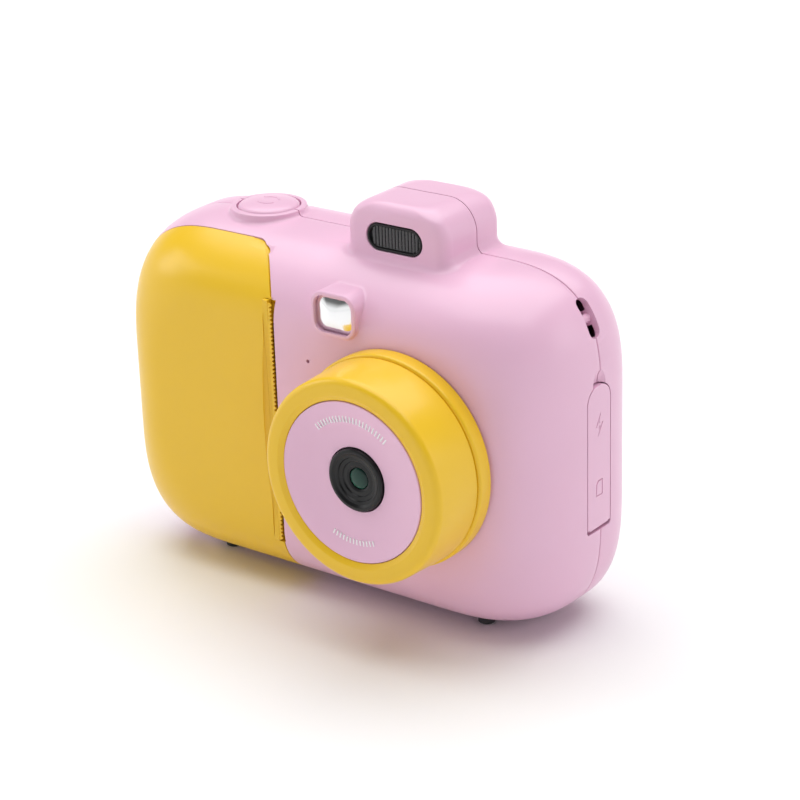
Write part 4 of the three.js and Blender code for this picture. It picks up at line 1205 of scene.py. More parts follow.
def arc_pattern() -> Pattern:
    """Copies round an arc in the x-z plane, each turned to face the middle.

    Returns:
        The pattern.
    """
    pattern = Pattern(
        "arc_of_copies",
        [
            ("Shape", "NodeSocketObject"),
            ("Material", "NodeSocketMaterial"),
            ("Count", "NodeSocketInt"),
            ("First", "NodeSocketFloat"),
            ("Spacing", "NodeSocketFloat"),
            ("Radius", "NodeSocketFloat"),
            ("Centre", "NodeSocketVector"),
        ],
    )
    index = pattern.add("GeometryNodeInputIndex").outputs[0]
    math_node = "ShaderNodeMath"
    steps = pattern.add(math_node, {0: index, 1: pattern.given("Spacing")}, operation="MULTIPLY")
    angle = pattern.add(math_node, {0: steps.outputs[0], 1: pattern.given("First")}, operation="ADD")
    turn = angle.outputs[0]
    cosine = pattern.add(math_node, {0: turn}, operation="COSINE")
    sine = pattern.add(math_node, {0: turn}, operation="SINE")
    unit = pattern.add("ShaderNodeCombineXYZ", {0: cosine.outputs[0], 2: sine.outputs[0]})
    reach = pattern.add(
        "ShaderNodeVectorMath", {0: unit.outputs[0], "Scale": pattern.given("Radius")}, operation="SCALE"
    )
    place = pattern.add(
        "ShaderNodeVectorMath", {0: reach.outputs[0], 1: pattern.given("Centre")}, operation="ADD"
    )
    line = pattern.add("GeometryNodeMeshLine", {"Count": pattern.given("Count")})
    moved = pattern.add(
        "GeometryNodeSetPosition", {"Geometry": line.outputs[0], "Position": place.outputs[0]}
    )
    back = pattern.add(math_node, {0: turn, 1: -1.0}, operation="MULTIPLY")
    rotation = pattern.add("ShaderNodeCombineXYZ", {1: back.outputs[0]})
    pattern.copies(moved.outputs[0], rotation.outputs[0])
    return pattern


ROW = row_pattern()
ARC = arc_pattern()

# ---------------------------------------------------------------- casing


def blended_foot(
    outline: Outline, size: np.ndarray, surface: Callable[[np.ndarray], float], up: float
) -> list[tuple[Outline, np.ndarray]]:
    """Rings of a fillet by which a wall leaves a curved surface smoothly.

    Args:
        outline: the wall's outline, counter-clockwise.
        size: the fillet's radius at each of its points.
        surface: the surface's place, along the wall, under a point.
        up: 1 or -1, the way the wall rises.

    Returns:
        For each ring its flat outline and its places along the wall, from inside the surface up.
    """
    outward = inset(outline, -1.0) - outline
    rings = []
    for k in range(FOOT_STEPS + 1):
        turn = math.pi / 2 * k / FOOT_STEPS
        flat = outline + outward * (size * (1 - math.sin(turn)))[:, None]
        ground = np.array([surface(point) for point in flat])
        rings.append((flat, ground + up * size * (1 - math.cos(turn))))
    flat, at = rings[0]
    sunk = np.array([surface(point) for point in outline]) - up * 1.5
    return [(outline, sunk), (flat, at - up * 0.4), *rings]


@dataclass
class Hump:
    """The block on top that holds the flash, blended into the casing by a fillet."""

    centre_x: float = 15.8
    centre_y: float = -1.2
    half_width: float = 13.8
    half_depth: float = 11.2
    rise: float = 11.9
    plan_corner: float = 3.0
    side_round: float = 7.3
    edge_round: float = 2.7
    fillet: float = 1.2
    side_flare: float = 1.4

    def plan(self, z: float, shrink: float) -> Outline:
        """The block's outline at a height.

        Args:
            z: the height.
            shrink: a wall's thickness, for the inner side.

        Returns:
            The outline.
        """
        top = CASING.half_height + self.rise
        past_x = max(z - (top - self.side_round), 0.0)
        past_y = max(z - (top - self.edge_round), 0.0)
        in_x = self.side_round - math.sqrt(max(self.side_round**2 - past_x**2, 0.0))
        in_y = self.edge_round - math.sqrt(max(self.edge_round**2 - past_y**2, 0.0))
        half_x, half_y = self.half_width - in_x - shrink, self.half_depth - in_y - shrink
        corner = max(min(self.plan_corner + in_y - shrink, half_x - 0.5, half_y - 0.5), 0.6)
        return rectangle((self.centre_x, self.centre_y), 2 * half_x, 2 * half_y, corner, 10)

    def form(self) -> Form:
        """The whole block.

        Returns:
            The solid.
        """
        foot, top = self.plan(CASING.half_height, 0.0), CASING.half_height + self.rise
        sideways = np.abs((inset(foot, -1.0) - foot)[:, 0])
        size = self.fillet + self.side_flare * sideways**2
        rings = blended_foot(foot, size, lambda point: CASING.height_at(point[1]), 1.0)
        rows = [lifted(flat, at, Along.Z) for flat, at in rings]
        turns = [math.pi / 2 * k / 28 for k in range(28)]
        levels = [top - self.side_round * (1 - math.sin(t)) for t in turns] + [top - 0.004]
        return loft(rows + [lifted(self.plan(z, 0.0), z, Along.Z) for z in levels])

    def hollow(self) -> Form:
        """The space inside the block."""
        base, top = CASING.half_height - 4.5, CASING.half_height + self.rise - WALL
        return loft([lifted(self.plan(z, WALL), z, Along.Z) for z in np.linspace(base, top, 5)])


@dataclass
class ButtonCollar:
    """The raised ring round the shutter button."""

    x: float = -30.4
    radius: float = 9.1
    rise: float = 1.4
    flare: float = 1.0
    edge: float = 0.4

    def form(self) -> Form:
        """The collar as a solid, flared where it meets the casing.

        Returns:
            The solid.
        """
        top = CASING.half_height + self.rise
        circle = np.array(arc((self.x, 0.0), self.radius, 0, 360, 96)[:-1])
        size = np.full(len(circle), self.flare)
        rings = blended_foot(circle, size, lambda point: CASING.height_at(point[1]), 1.0)
        rows = [lifted(flat, at, Along.Z) for flat, at in rings[:-1]]
        for k in range(7):
            turn = math.pi / 2 * k / 6
            level = top - self.edge * (1 - math.sin(turn))
            rows.append(lifted(inset(circle, self.edge * (1 - math.cos(turn))), level, Along.Z))
        return loft(rows)


@dataclass
class MirrorFrame:
    """The raised frame round the front mirror, blended into the casing's curve."""

    centre_x: float = 9.2
    centre_z: float = 31.6
    width: float = 10.6
    height: float = 8.6
    rim: float = 0.95
    proud: float = 0.9
    corner: float = 2.6
    fillet: float = 0.4
    round: float = 0.45

    def form(self) -> Form:
        """The frame as a solid.

        Returns:
            The solid.
        """
        front = FRONT_Y - self.proud
        outline = rectangle(
            (self.centre_x, self.centre_z),
            self.width + 2 * self.rim,
            self.height + 2 * self.rim,
            self.corner + self.rim,
            10,
        )
        size = np.full(len(outline), self.fillet)
        rings = blended_foot(
            outline, size, lambda point: -CASING.depth_at(CASING.half_height - point[1]), -1.0
        )
        rows = [lifted(flat, at, Along.Y) for flat, at in rings]
        for k in range(6):
            turn = math.pi / 2 * k / 5
            level = front + self.round * (1 - math.sin(turn))
            rows.append(lifted(inset(outline, self.round * (1 - math.cos(turn))), level, Along.Y))
        return loft(rows)

    def seat(self) -> Form:
        """The opening for the mirror."""
        shape = rectangle((self.centre_x, self.centre_z), self.width, self.height, self.corner, 10)
        return prism(shape, FRONT_Y - self.proud - 3, FRONT_Y - self.proud + 1.4, Along.Y)


@dataclass
class CoverSpace:
    """The share of the front that belongs to the paper cover."""

    edge_x: float = -9.0
    seam_depth: float = SEAM_DEPTH
    corner: float = 14.6

    def form(self, grow: float) -> Form:
        """The space left of the free edge and ahead of the seam.

        Args:
            grow: how far it stands out past the seam.

        Returns:
            The solid.
        """
        edge = self.edge_x + grow
        top = CASING.half_height - CASING.inset_at(self.seam_depth) + grow
        middle = (edge - self.corner, top - self.corner)
        corner = [(edge, -FAR / 2), *arc(middle, self.corner, 0, 90, 20)]
        outline = corner + [(edge - self.corner, FAR / 2), (-FAR, FAR / 2), (-FAR, -FAR / 2)]
        return prism(np.array(outline), -FAR, -self.seam_depth + grow, Along.Y)


@dataclass
class Hinge:
    """The knuckled hinge at the outer edge of the paper cover."""

    radius: float = 1.4
    knuckle: float = 4.0

    @property
    def axis(self) -> tuple[float, float]:
        """The x and y of the hinge axis."""
        return (-(CASING.half_width - CASING.inset_at(SEAM_DEPTH)), -SEAM_DEPTH)

    def knuckles(self, ids: Sequence[int], radius: float, grow: float = 0.0) -> list[Form]:
        """Barrels of one leaf, counted from the bottom.

        Args:
            ids: the barrels' numbers.
            radius: their radius.
            grow: how far each end is lengthened.

        Returns:
            The barrels.
        """
        pitch = self.knuckle + GAP
        made = []
        for i in ids:
            low = -2.5 * pitch + GAP / 2 + i * pitch
            made.append(bar(self.axis, radius, low - grow, low + self.knuckle + grow, Along.Z, 32))
        return made


@dataclass
class PortPlace:
    """The long recess for the socket flap on the right side."""

    top: float = 17.8
    bottom: float = -17.4
    centre_y: float = -0.7
    width: float = 9.4
    flap_thickness: float = 1.6

    def outline(self, grow: float) -> Outline:
        """The recess in y and z: a round top and softly squared foot.

        Args:
            grow: how far it grows.

        Returns:
            The outline.
        """
        half = self.width / 2 + grow
        low, high = self.bottom - grow, self.top + grow
        y0, y1 = self.centre_y - half, self.centre_y + half
        corners = [(y1, low, 0.9), (y1, high, half - 0.5), (y0, high, half - 0.5), (y0, low, 0.9)]
        return rounded(corners, 12)

    def recess(self) -> list[Form]:
        """What is cut from the casing: recess, nail notch and the two socket windows.

        Returns:
            The solids to cut away.
        """
        floor = CASING.half_width - self.flap_thickness - GAP
        notch = ball((CASING.half_width + 0.5, self.centre_y, self.top - 0.1), (1.7, 2.6, 3.6))
        usb = rectangle((self.centre_y, 8.0), 3.8, 9.6, 1.85)
        card = rectangle((self.centre_y, -6.5), 1.9, 12.0, 0.4)
        made = [prism(self.outline(0.0), floor, FAR, Along.X), notch]
        return made + [prism(shape, 50.0, FAR, Along.X) for shape in (usb, card)]


@dataclass
class StrapPlace:
    """The strap pocket on the slanting upper right corner."""

    x: float = 58.7
    z: float = 32.3
    slant: float = 60.5
    length: float = 9.6
    width: float = 4.0
    depth: float = 4.6
    cup_wall: float = 1.2
    bar_radius: float = 1.1

    @property
    def matrix(self) -> Matrix:
        """From the pocket's own axes (along, across, outward) to the camera's.

        Returns:
            The matrix.
        """
        turn = math.radians(self.slant)
        along = Vector((-math.cos(turn), 0, math.sin(turn)))
        outward = Vector((math.sin(turn), 0, math.cos(turn)))
        made = Matrix((along, outward.cross(along), outward)).transposed().to_4x4()
        made.translation = Vector((self.x, 0, self.z))
        return made

    def pocket(self) -> Form:
        """The pocket's space."""
        shape = rectangle((0, 0), self.length, self.width, 1.8)
        return prism(shape, -self.depth, 20, Along.Z).moved(self.matrix)

    def windows(self) -> list[Form]:
        """The two deep holes beside the bar, open to the inside behind the parting plane.

        Returns:
            The solids to cut away.
        """
        holes = [rectangle((side * 3.1, -1.5), 2.7, self.width + 2.6, 0.6) for side in (-1, 1)]
        deep = -self.depth - self.cup_wall - 1
        return [prism(hole, deep, -1.3, Along.Z).moved(self.matrix) for hole in holes]

    def cup(self) -> Form:
        """The wall round the pocket.

        Returns:
            The solid.
        """
        size = [s + 2 * self.cup_wall for s in (self.length, self.width)]
        shape = rectangle((0, 0), *size, 2.4)
        return prism(shape, -self.depth - self.cup_wall, 2.0, Along.Z).moved(self.matrix)

    def crossbar(self) -> Form:
        """The bar that the strap is tied round.

        Returns:
            The solid.
        """
        turn, down = math.radians(self.slant), 1.9
        centre = (self.x - down * math.sin(turn), self.z - down * math.cos(turn))
        reach = self.width / 2 + 1.4
        return bar(centre, self.bar_radius, -reach, reach, Along.Y, 40)


HUMP, COLLAR, MIRROR = Hump(), ButtonCollar(), MirrorFrame()
COVER_SPACE, HINGE, PORT, STRAP = CoverSpace(), Hinge(), PortPlace(), StrapPlace()
SHUTTER_HOLE = 7.4 + GAP
SLOT_MIDDLE = 1.2
SLOT_LOW, SLOT_HIGH = SLOT_MIDDLE - 30.0, SLOT_MIDDLE + 30.0
PAPER_HALF = 28.5
SLOT_GAP = 0.8
FOOT_PLACES = [(sx * 38.0, y) for sx in (-1, 1) for y in (-10.8, 8.0)]
SCREW_PLACES = [(sx * 50.0, sz * 35.5) for sx in (-1, 1) for sz in (-1, 1)]
LENS_X, LENS_Z = 25.8, 1.4
KEYPAD_X, KEYPAD_Z = -33.0, 6.0
SIDE_KEY_REACH, SIDE_KEY_Z = 9.0, -12.5
SPEAKER = (KEYPAD_X, -22.6)
SPEAKER_CENTRE = (SPEAKER[0], 0.0, SPEAKER[1])
SCREEN_X = 14.0
FLASH_SIZE = (15.4, 6.6)
FLASH_RISE = 4.0


@dataclass
class Casings:
    """The two pink halves of the housing."""

    cable_radius: float = 8.0
    mic: tuple[float, float, float] = (0.9, 18.8, 0.45)

    def shared(self) -> list[Form]:
        """Openings that lie across the parting plane.

        Returns:
            The solids to cut away.
        """
        top = CASING.half_height - WALL
        made = [bar((COLLAR.x, 0.0), SHUTTER_HOLE, top - 1, FAR, Along.Z, 96)]
        made.append(bar((COLLAR.x, 0.0), SHUTTER_HOLE + 1.1, top - 4, top, Along.Z))
        made += PORT.recess() + [STRAP.pocket(), *STRAP.windows()]
        for x, y in FOOT_PLACES:
            low = -CASING.half_height - 2
            made.append(bar((x, y), 2.3, low, -CASING.height_at(y) + 0.65, Along.Z, 40))
        return made

    def front(self) -> None:
        """The front half, with the hump's front, the collar's front and the mirror frame."""
        ahead = box((-FAR, -FAR, -FAR), (FAR, -SEAM_LINE, FAR))
        outer = CASING.front(SEAM_LINE, 0.22)
        extras = [HUMP.form().meet(ahead), COLLAR.form().meet(ahead), MIRROR.form()]
        cup = STRAP.cup().meet(outer)
        hollow = INNER.front(-1.0, 0.0, 14)
        shell = outer.join(*extras).cut(hollow, HUMP.hollow()).join(cup)
        z = CASING.half_height + FLASH_RISE
        shape = rectangle((HUMP.centre_x, z), *FLASH_SIZE, FLASH_SIZE[1] / 2, 16)
        front, edge = HUMP.centre_y - HUMP.half_depth, COVER_SPACE.edge_x
        width, height = (size + 0.5 for size in FLASH_SIZE)
        rim = rectangle((HUMP.centre_x, z), width, height, height / 2, 16)
        wide, narrow = inset(rim, -0.2), inset(rim, 0.25)
        bevel = loft([lifted(wide, front - 0.45, Along.Y), lifted(narrow, front + 0.2, Along.Y)])
        cuts = [
            prism(shape, -FAR, front + WALL + 1, Along.Y),
            bevel,
            MIRROR.seat(),
            bar((LENS_X, LENS_Z), self.cable_radius, -FAR, FRONT_Y + WALL + 1, Along.Y),
            bar(self.mic[:2], self.mic[2], -FAR, FRONT_Y + WALL + 1, Along.Y, 24),
            box((edge - 1, -FAR, SLOT_LOW), (edge + SLOT_GAP / 2, FRONT_Y + 3, SLOT_HIGH)),
            ball((edge - 9.4, FRONT_Y + 8.0, CASING.half_height - 0.1), (4.6, 3.9, 3.9)),
            COVER_SPACE.form(SEAM_LINE),
        ]
        half = shell.cut(*cuts, *self.shared())
        leaf = [k.cut(INNER.front(-1.0, 0.0, 14)) for k in HINGE.knuckles((1, 3), HINGE.radius)]
        half = half.join(*leaf).cut(*HINGE.knuckles((0, 2, 4), HINGE.radius + GAP, GAP))
        add_piece("casing_front", half, Body.CAMERA, Slot.PINK, ["front_casing"])

    def rear(self) -> None:
        """The rear half, with its screen seat, key openings, grille and screw wells."""
        behind = box((-FAR, SEAM_LINE, -FAR), (FAR, FAR, FAR))
        outer = CASING.rear(SEAM_LINE, 0.22)
        extras = [HUMP.form().meet(behind), COLLAR.form().meet(behind)]
        hollow = INNER.rear(-1.0, 0.0, 8)
        shell = outer.join(*extras).cut(hollow, HUMP.hollow()).join(STRAP.cup().meet(outer))
        bosses = [bar(p, 2.8, 0.4, CASING.rear_depth, Along.Y, 32).meet(outer) for p in SCREW_PLACES]
        depth, inner = CASING.rear_depth, CASING.rear_depth - WALL
        view = rectangle((SCREEN_X, 0.0), 49.0, 37.0, 1.0)
        seat = rectangle((SCREEN_X, 0.0), 58.0, 44.0, 3.0)
        keypad = (KEYPAD_X, KEYPAD_Z)
        grille = [bar(SPEAKER, 0.6, inner - 1, FAR, Along.Y, 16)]
        for count, first, radius, hole in ((6, 0.0, 2.6, 0.6), (12, 0.26, 4.6, 0.55)):
            drill = bar((0.0, 0.0), hole, inner - 1, depth + 1, Along.Y, 16)
            places = {"First": first, "Radius": radius, "Centre": SPEAKER_CENTRE}
            grille.append(ARC.run(drill, Count=count, Spacing=2 * math.pi / count, **places))
        cuts = [
            prism(view, inner - 1, FAR, Along.Y),
            prism(seat, depth - 1.5, FAR, Along.Y),
            bar(keypad, 11.9, inner - 1, FAR, Along.Y, 96),
            bar(keypad, 12.7, depth - 0.35, FAR, Along.Y, 96),
            *grille,
        ]
        for side in (1, -1):
            place = (KEYPAD_X + side * SIDE_KEY_REACH, SIDE_KEY_Z)
            cuts.append(bar(place, 3.7, inner - 1, FAR, Along.Y, 64))
        cuts += [bar(p, 2.5, 9.0, FAR, Along.Y, 40) for p in SCREW_PLACES]
        cuts += [bar(p, 1.3, -1.0, FAR, Along.Y, 24) for p in SCREW_PLACES]
        half = shell.join(*bosses).cut(*cuts, *self.shared())
        add_piece("casing_rear", half, Body.CAMERA, Slot.PINK, ["rear_casing"])

    def build(self) -> None:
        """Builds both halves."""
        self.front()
        self.rear()


# ---------------------------------------------------------------- paper cover


def chamfered(inner: float, outer: float, low: float, high: float, edge: float = 0.3) -> Outline:
    """The profile of a tube or bar whose outer edges are chamfered.

    Args:
        inner: inner radius, 0 for a solid bar.
        outer: outer radius.
        low: its lower end.
        high: its upper end.
        edge: the chamfer.

    Returns:
        The profile as (radius, place).
    """
    half = [(inner, low), (outer - edge, low), (outer, low + edge)]
    return np.array(half + [(radius, low + high - at) for radius, at in reversed(half)])


@dataclass
class PaperCover:
    """The yellow door with its serrated bar and the roller behind it."""

    slot_x: float = -9.0 - SLOT_GAP / 2
    bar_width: float = 2.4
    bar_thickness: float = 1.5
    tooth_pitch: float = 1.0
    platen: tuple[float, float] = (-13.1, -16.5)
    ear: float = 1.2

    def scoop(self) -> Form:
        """The shallow crescent beside the slot."""
        return ball((self.slot_x, FRONT_Y - 0.55, SLOT_MIDDLE), (3.9, 1.7, 29.6), 64)

    def door(self) -> None:
        """The cover's shell with its ears and knuckles."""
        outer = CASING.front(COVER_SPACE.seam_depth - 3, 0.0)
        shell = outer.cut(INNER.front(-1.0, 0.0, 14)).meet(COVER_SPACE.form(-SEAM_LINE))
        ears = []
        reach = PAPER_HALF + 0.4 + GAP
        for low in (SLOT_MIDDLE - reach - self.ear, SLOT_MIDDLE + reach):
            x0 = self.platen[0] - 3.5
            far = (self.slot_x, self.platen[1] + 2.5, low + self.ear)
            ear = box((x0, FRONT_Y, low), far).meet(outer)
            ears.append(ear.cut(bar(self.platen, 1.6, low - 1, low + self.ear + 1, Along.Z)))
        front = FRONT_Y + 0.2
        left = self.slot_x - self.bar_width
        floor = front + self.bar_thickness + GAP
        rib = box((left - 1.5, floor, SLOT_LOW - 1), (left + 0.6, FRONT_Y + 3.7, SLOT_HIGH + 1))
        seat = box((left - 0.05, -FAR, SLOT_LOW - 0.05), (FAR, floor, SLOT_HIGH + 0.05))
        leaf = HINGE.knuckles((0, 2, 4), HINGE.radius)
        made = shell.join(*ears, rib, *leaf).cut(seat, self.scoop())
        made = made.cut(*HINGE.knuckles((1, 3), HINGE.radius + GAP, GAP))
        add_piece("cover_door", made, Body.DOOR, Slot.YELLOW, ["paper_cover"])

    def teeth(self) -> None:
        """The serrated bar: one row of fine wedge teeth along the slot."""
        front, back = FRONT_Y + 0.2, FRONT_Y + 0.2 + self.bar_thickness
        left, root = self.slot_x - self.bar_width, self.slot_x - 1.05
        body = box((left, front, SLOT_LOW + 0.1), (root + 0.02, back, SLOT_HIGH - 0.1)).cut(self.scoop())
        add_piece("tear_strip", body, Body.DOOR, Slot.YELLOW, ["tear_bar"])
        half = self.tooth_pitch / 2
        reach, root_length, tip = 1.0, 0.45, 0.08
        edge = [(0.0, -half), (root_length, -half), (reach, -tip)]
        wedge = np.array(edge + [(a, -b) for a, b in reversed(edge)])
        tooth = prism(wedge, 0.0, 0.42, Along.Z)
        upright = Matrix(((1, 0, 0), (0, 0, 1), (0, 1, 0))).to_4x4()
        tooth = tooth.moved(upright).outward()
        count = int((SLOT_HIGH - SLOT_LOW - 0.6) / self.tooth_pitch)
        start = (root, front + 0.06, SLOT_LOW + 0.8)
        row = ROW.run(tooth, Count=count, Start=start, Step=(0.0, 0.0, self.tooth_pitch))
        add_piece("tear_teeth", row, Body.DOOR, Slot.YELLOW)

    def roller(self) -> None:
        """The rubber roller on its steel shaft."""
        half = PAPER_HALF + 0.4
        sleeve = chamfered(1.6, 4.0, SLOT_MIDDLE - half, SLOT_MIDDLE + half)
        rubber = turned(sleeve, self.platen, Along.Z)
        add_piece("platen_rubber", rubber, Body.PLATEN, Slot.RUBBER, ["platen_sleeve"])
        ends = DATUM.box("platen_shaft")
        shaft = chamfered(0.0, 1.5, ends[0][2], ends[1][2])
        axle = turned(shaft, self.platen, Along.Z, 48)
        add_piece("platen_axle", axle, Body.PLATEN, Slot.STEEL, ["platen_shaft"])

    def build(self) -> None:
        """Builds the cover group."""
        self.door()
        self.teeth()
        self.roller()


@dataclass
class PaperSupply:
    """The paper roll on its core."""

    centre: tuple[float, float] = (-38.6, -6.5)
    radius: float = 13.0
    core: float = 6.0
    turns: int = 26

    def build(self) -> None:
        """Builds the roll, with the edges of its windings, and the core."""
        low, high = SLOT_MIDDLE - PAPER_HALF, SLOT_MIDDLE + PAPER_HALF
        step = (self.radius - self.core - 0.4) / self.turns
        edge = [(self.core + 0.1 + step * k, 0.07 if k % 2 else 0.0) for k in range(self.turns + 1)]
        bottom = [(r, low + dip) for r, dip in edge]
        top = [(r, high - dip) for r, dip in reversed(edge)]
        side = [(self.radius, low + 0.3), (self.radius, high - 0.3)]
        roll = turned(np.array(bottom + side + top), self.centre, Along.Z, 96)
        add_piece("roll_paper", roll, Body.SUPPLY, Slot.PAPER, ["paper_roll"])
        inner = self.core - 1.0
        tube = np.array([(inner, low), (self.core, low), (self.core, high), (inner, high)])
        add_piece("roll_tube", turned(tube, self.centre, Along.Z), Body.SUPPLY, Slot.GREY, ["roll_core"])


# ---------------------------------------------------------------- lens


@dataclass
class LensTube:
    """The stepped yellow tube with its dished face, cone and glass."""

    front_y: float = FRONT_Y - 18.0
    ring_radius: float = 24.5
    rim_radius: float = 23.9
    disc_radius: float = 18.75
    bezel_radius: float = 7.3
    glass_radius: float = 2.4
    face_set: float = 0.5
    dish: float = 2.1

    @staticmethod
    def turn(
        name: str,
        corners: Sequence[Sequence[float]],
        slot: Slot,
        node: str,
        steps: int = 6,
        sides: int = 128,
        sharp: float = 32.0,
    ) -> None:
        """Adds one piece turned round the lens axis.

        Args:
            name: the piece's name.
            corners: its profile's corners as (radius, place, round).
            slot: its material slot.
            node: the CAD node that it stands for.
            steps: pieces in each round.
            sides: steps of a full turn.
            sharp: edges that turn by more degrees than this stay sharp.
        """
        form = turned(rounded(corners, steps), (LENS_X, LENS_Z), Along.Y, sides)
        add_piece(name, form, Body.CAMERA, slot, [node], sharp=sharp)

    def tube(self) -> None:
        """The wide rear part and the long front part with its rounded rim."""
        back, step, bore = FRONT_Y - GAP, FRONT_Y - 4.3, self.ring_radius - 4.6
        collar = [(bore, back, 0.2), (25.1, back, 0.25), (25.1, step, 0.75), (bore, step, 0.2)]
        self.turn("lens_base", collar, Slot.YELLOW, "lens_collar")
        f, r = self.front_y, self.rim_radius
        seat = self.disc_radius + 0.12
        ring = [
            (18.3, step - 0.12, 0.2),
            (self.ring_radius, step - 0.12, 0.45),
            (r, f, 1.7),
            (seat + 1.3, f, 0.7),
            (seat, f + 0.7, 0.2),
            (seat, f + 3.0, 0.1),
            (18.3, f + 3.0, 0.1),
        ]
        self.turn("lens_tube", ring, Slot.YELLOW, "lens_ring", steps=10, sharp=40.0)

    def face(self) -> None:
        """The dished pink face with its printed ticks."""
        rim, dish = self.front_y + self.face_set, self.dish
        inner, outer = self.bezel_radius + GAP, self.disc_radius
        steps = 28
        curve = []
        for k in range(steps + 1):
            share = k / steps
            radius = inner + (outer - inner) * share
            curve.append((radius, rim + dish * math.cos(share * math.pi / 2) ** 1.2))
        curve[-1:] = [(outer - 0.25, rim), (outer - 0.07, rim + 0.07), (outer, rim + 0.25)]
        profile = curve + [(outer, rim + 1.6), (inner, rim + dish + 1.5)]
        form = turned(np.array(profile), (LENS_X, LENS_Z), Along.Y, 128)
        add_piece("lens_face", form, Body.CAMERA, Slot.PINK, ["lens_disc"])
        radius = 14.6
        share = (radius - inner) / (outer - inner)
        y = rim + dish * math.cos(share * math.pi / 2) ** 1.2
        self.ticks("lens_scale_top", 23, math.radians(52), radius, y, 1.9)
        self.ticks("lens_scale_low", 13, math.radians(246), radius, y, 1.3)

    def ticks(self, name: str, count: int, first: float, radius: float, y: float, length: float) -> None:
        """A plain arc of printed tick marks.

        Args:
            name: the piece's name.
            count: how many ticks.
            first: the first tick's angle.
            radius: the arc's radius.
            y: the face's depth there.
            length: each tick's length.
        """
        tick = box((-length / 2, y - 0.15, -0.15), (length / 2, y + 0.35, 0.15))
        places = {"Count": count, "First": first, "Radius": radius, "Centre": (LENS_X, 0.0, LENS_Z)}
        marks = ARC.run(tick, Spacing=math.radians(3.6), **places)
        white = finishes.get("print_white", PRINT)
        add_piece(name, marks, Body.CAMERA, Slot.PINK, material=white)

    def optics(self) -> None:
        """The black stepped cone and the small glass."""
        f = self.front_y + self.face_set + self.dish - 0.8
        glass = f + 1.75
        o, g = self.bezel_radius, self.glass_radius + 0.15
        cone = [
            (g, glass + 2.4, 0.0),
            (o, glass + 2.4, 0.0),
            (o, f + 0.1, 0.5),
            (o - 0.9, f, 0.35),
            (o - 1.5, f + 0.45, 0.15),
            (o - 2.1, f + 0.6, 0.12),
            (o - 2.3, f + 0.95, 0.1),
            (o - 3.1, f + 1.05, 0.1),
            (o - 3.3, f + 1.35, 0.1),
            (g + 0.55, f + 1.25, 0.2),
            (g, f + 1.5, 0.1),
        ]
        self.turn("lens_cone", cone, Slot.BLACK, "lens_bezel", steps=4, sides=96, sharp=28.0)
        radius, dome = self.glass_radius, 0.55
        turns = np.linspace(0.15, math.pi / 2, 12)
        cap = [(0.0, glass - dome)]
        cap += [(radius * math.sin(a), glass - dome * math.cos(a)) for a in turns]
        cap += [(radius, glass + 1.2), (0.0, glass + 1.2)]
        form = turned(np.array(cap), (LENS_X, LENS_Z), Along.Y, 64)
        add_piece("lens_front_glass", form, Body.CAMERA, Slot.LENS_GLASS, ["lens_glass"])

    def build(self) -> None:
        """Builds the whole lens."""
        self.tube()
        self.face()
        self.optics()


# ---------------------------------------------------------------- flash, mirror, button


@dataclass
class Flash:
    """The ribbed window in the hump with its thin black rim."""

    width: float = FLASH_SIZE[0]
    height: float = FLASH_SIZE[1]
    rise: float = FLASH_RISE
    rib_pitch: float = 0.9

    def build(self) -> None:
        """Builds the rim, the window and its ribs."""
        centre = (HUMP.centre_x, CASING.half_height + self.rise)
        front = HUMP.centre_y - HUMP.half_depth
        outer = rectangle(centre, self.width - 0.4, self.height - 0.4, self.height / 2 - 0.2, 16)
        inner = inset(outer, 0.62)
        rim = loft(
            [
                lifted(outer, front + 1.5, Along.Y),
                lifted(outer, front + 0.25, Along.Y),
                lifted(inset(outer, 0.15), front + 0.1, Along.Y),
                lifted(inset(outer, 0.5), front + 0.12, Along.Y),
                lifted(inner, front + 0.6, Along.Y),
                lifted(inner, front + 1.5, Along.Y),
            ],
            closed=True,
        )
        add_piece("flash_rim", rim, Body.CAMERA, Slot.BLACK)
        pane = prism(inset(outer, 0.66), front + 0.75, front + 1.5, Along.Y)
        add_piece("flash_pane", pane, Body.CAMERA, Slot.FLASH_LENS, ["flash_window"])
        count = int((self.width - 2.6) / self.rib_pitch)
        low, high = centre[1] - self.height / 2, centre[1] + self.height / 2
        rib = bar((0.0, 0.0), 0.42, low, high, Along.Z, 16)
        start = centre[0] - (count - 1) * self.rib_pitch / 2
        first = (start, front + 0.78, 0.0)
        ribs = ROW.run(rib, Count=count, Start=first, Step=(self.rib_pitch, 0.0, 0.0))
        limit = prism(inset(outer, 0.7), front + 0.3, front + 1.2, Along.Y)
        add_piece("flash_ribs", ribs.meet(limit), Body.CAMERA, Slot.FLASH_LENS)


@dataclass
class FrontMirror:
    """The small domed mirror in its frame."""

    bulge: float = 1.3

    def build(self) -> None:
        """Builds the mirror as rings that rise to its middle."""
        width, height = MIRROR.width - 0.5, MIRROR.height - 0.5
        outline = rectangle((MIRROR.centre_x, MIRROR.centre_z), width, height, MIRROR.corner, 10)
        centre = np.array([MIRROR.centre_x, MIRROR.centre_z])
        edge_y = FRONT_Y - MIRROR.proud + 1.0
        rows = [lifted(outline, edge_y + 0.35, Along.Y), lifted(outline, edge_y, Along.Y)]
        for k in range(1, 16):
            share = 1 - k / 16
            y = edge_y - self.bulge * (1 - share**2)
            rows.append(lifted(centre + (outline - centre) * share, y, Along.Y))
        add_piece("mirror_glass", loft(rows), Body.CAMERA, Slot.MIRROR, ["front_mirror"])


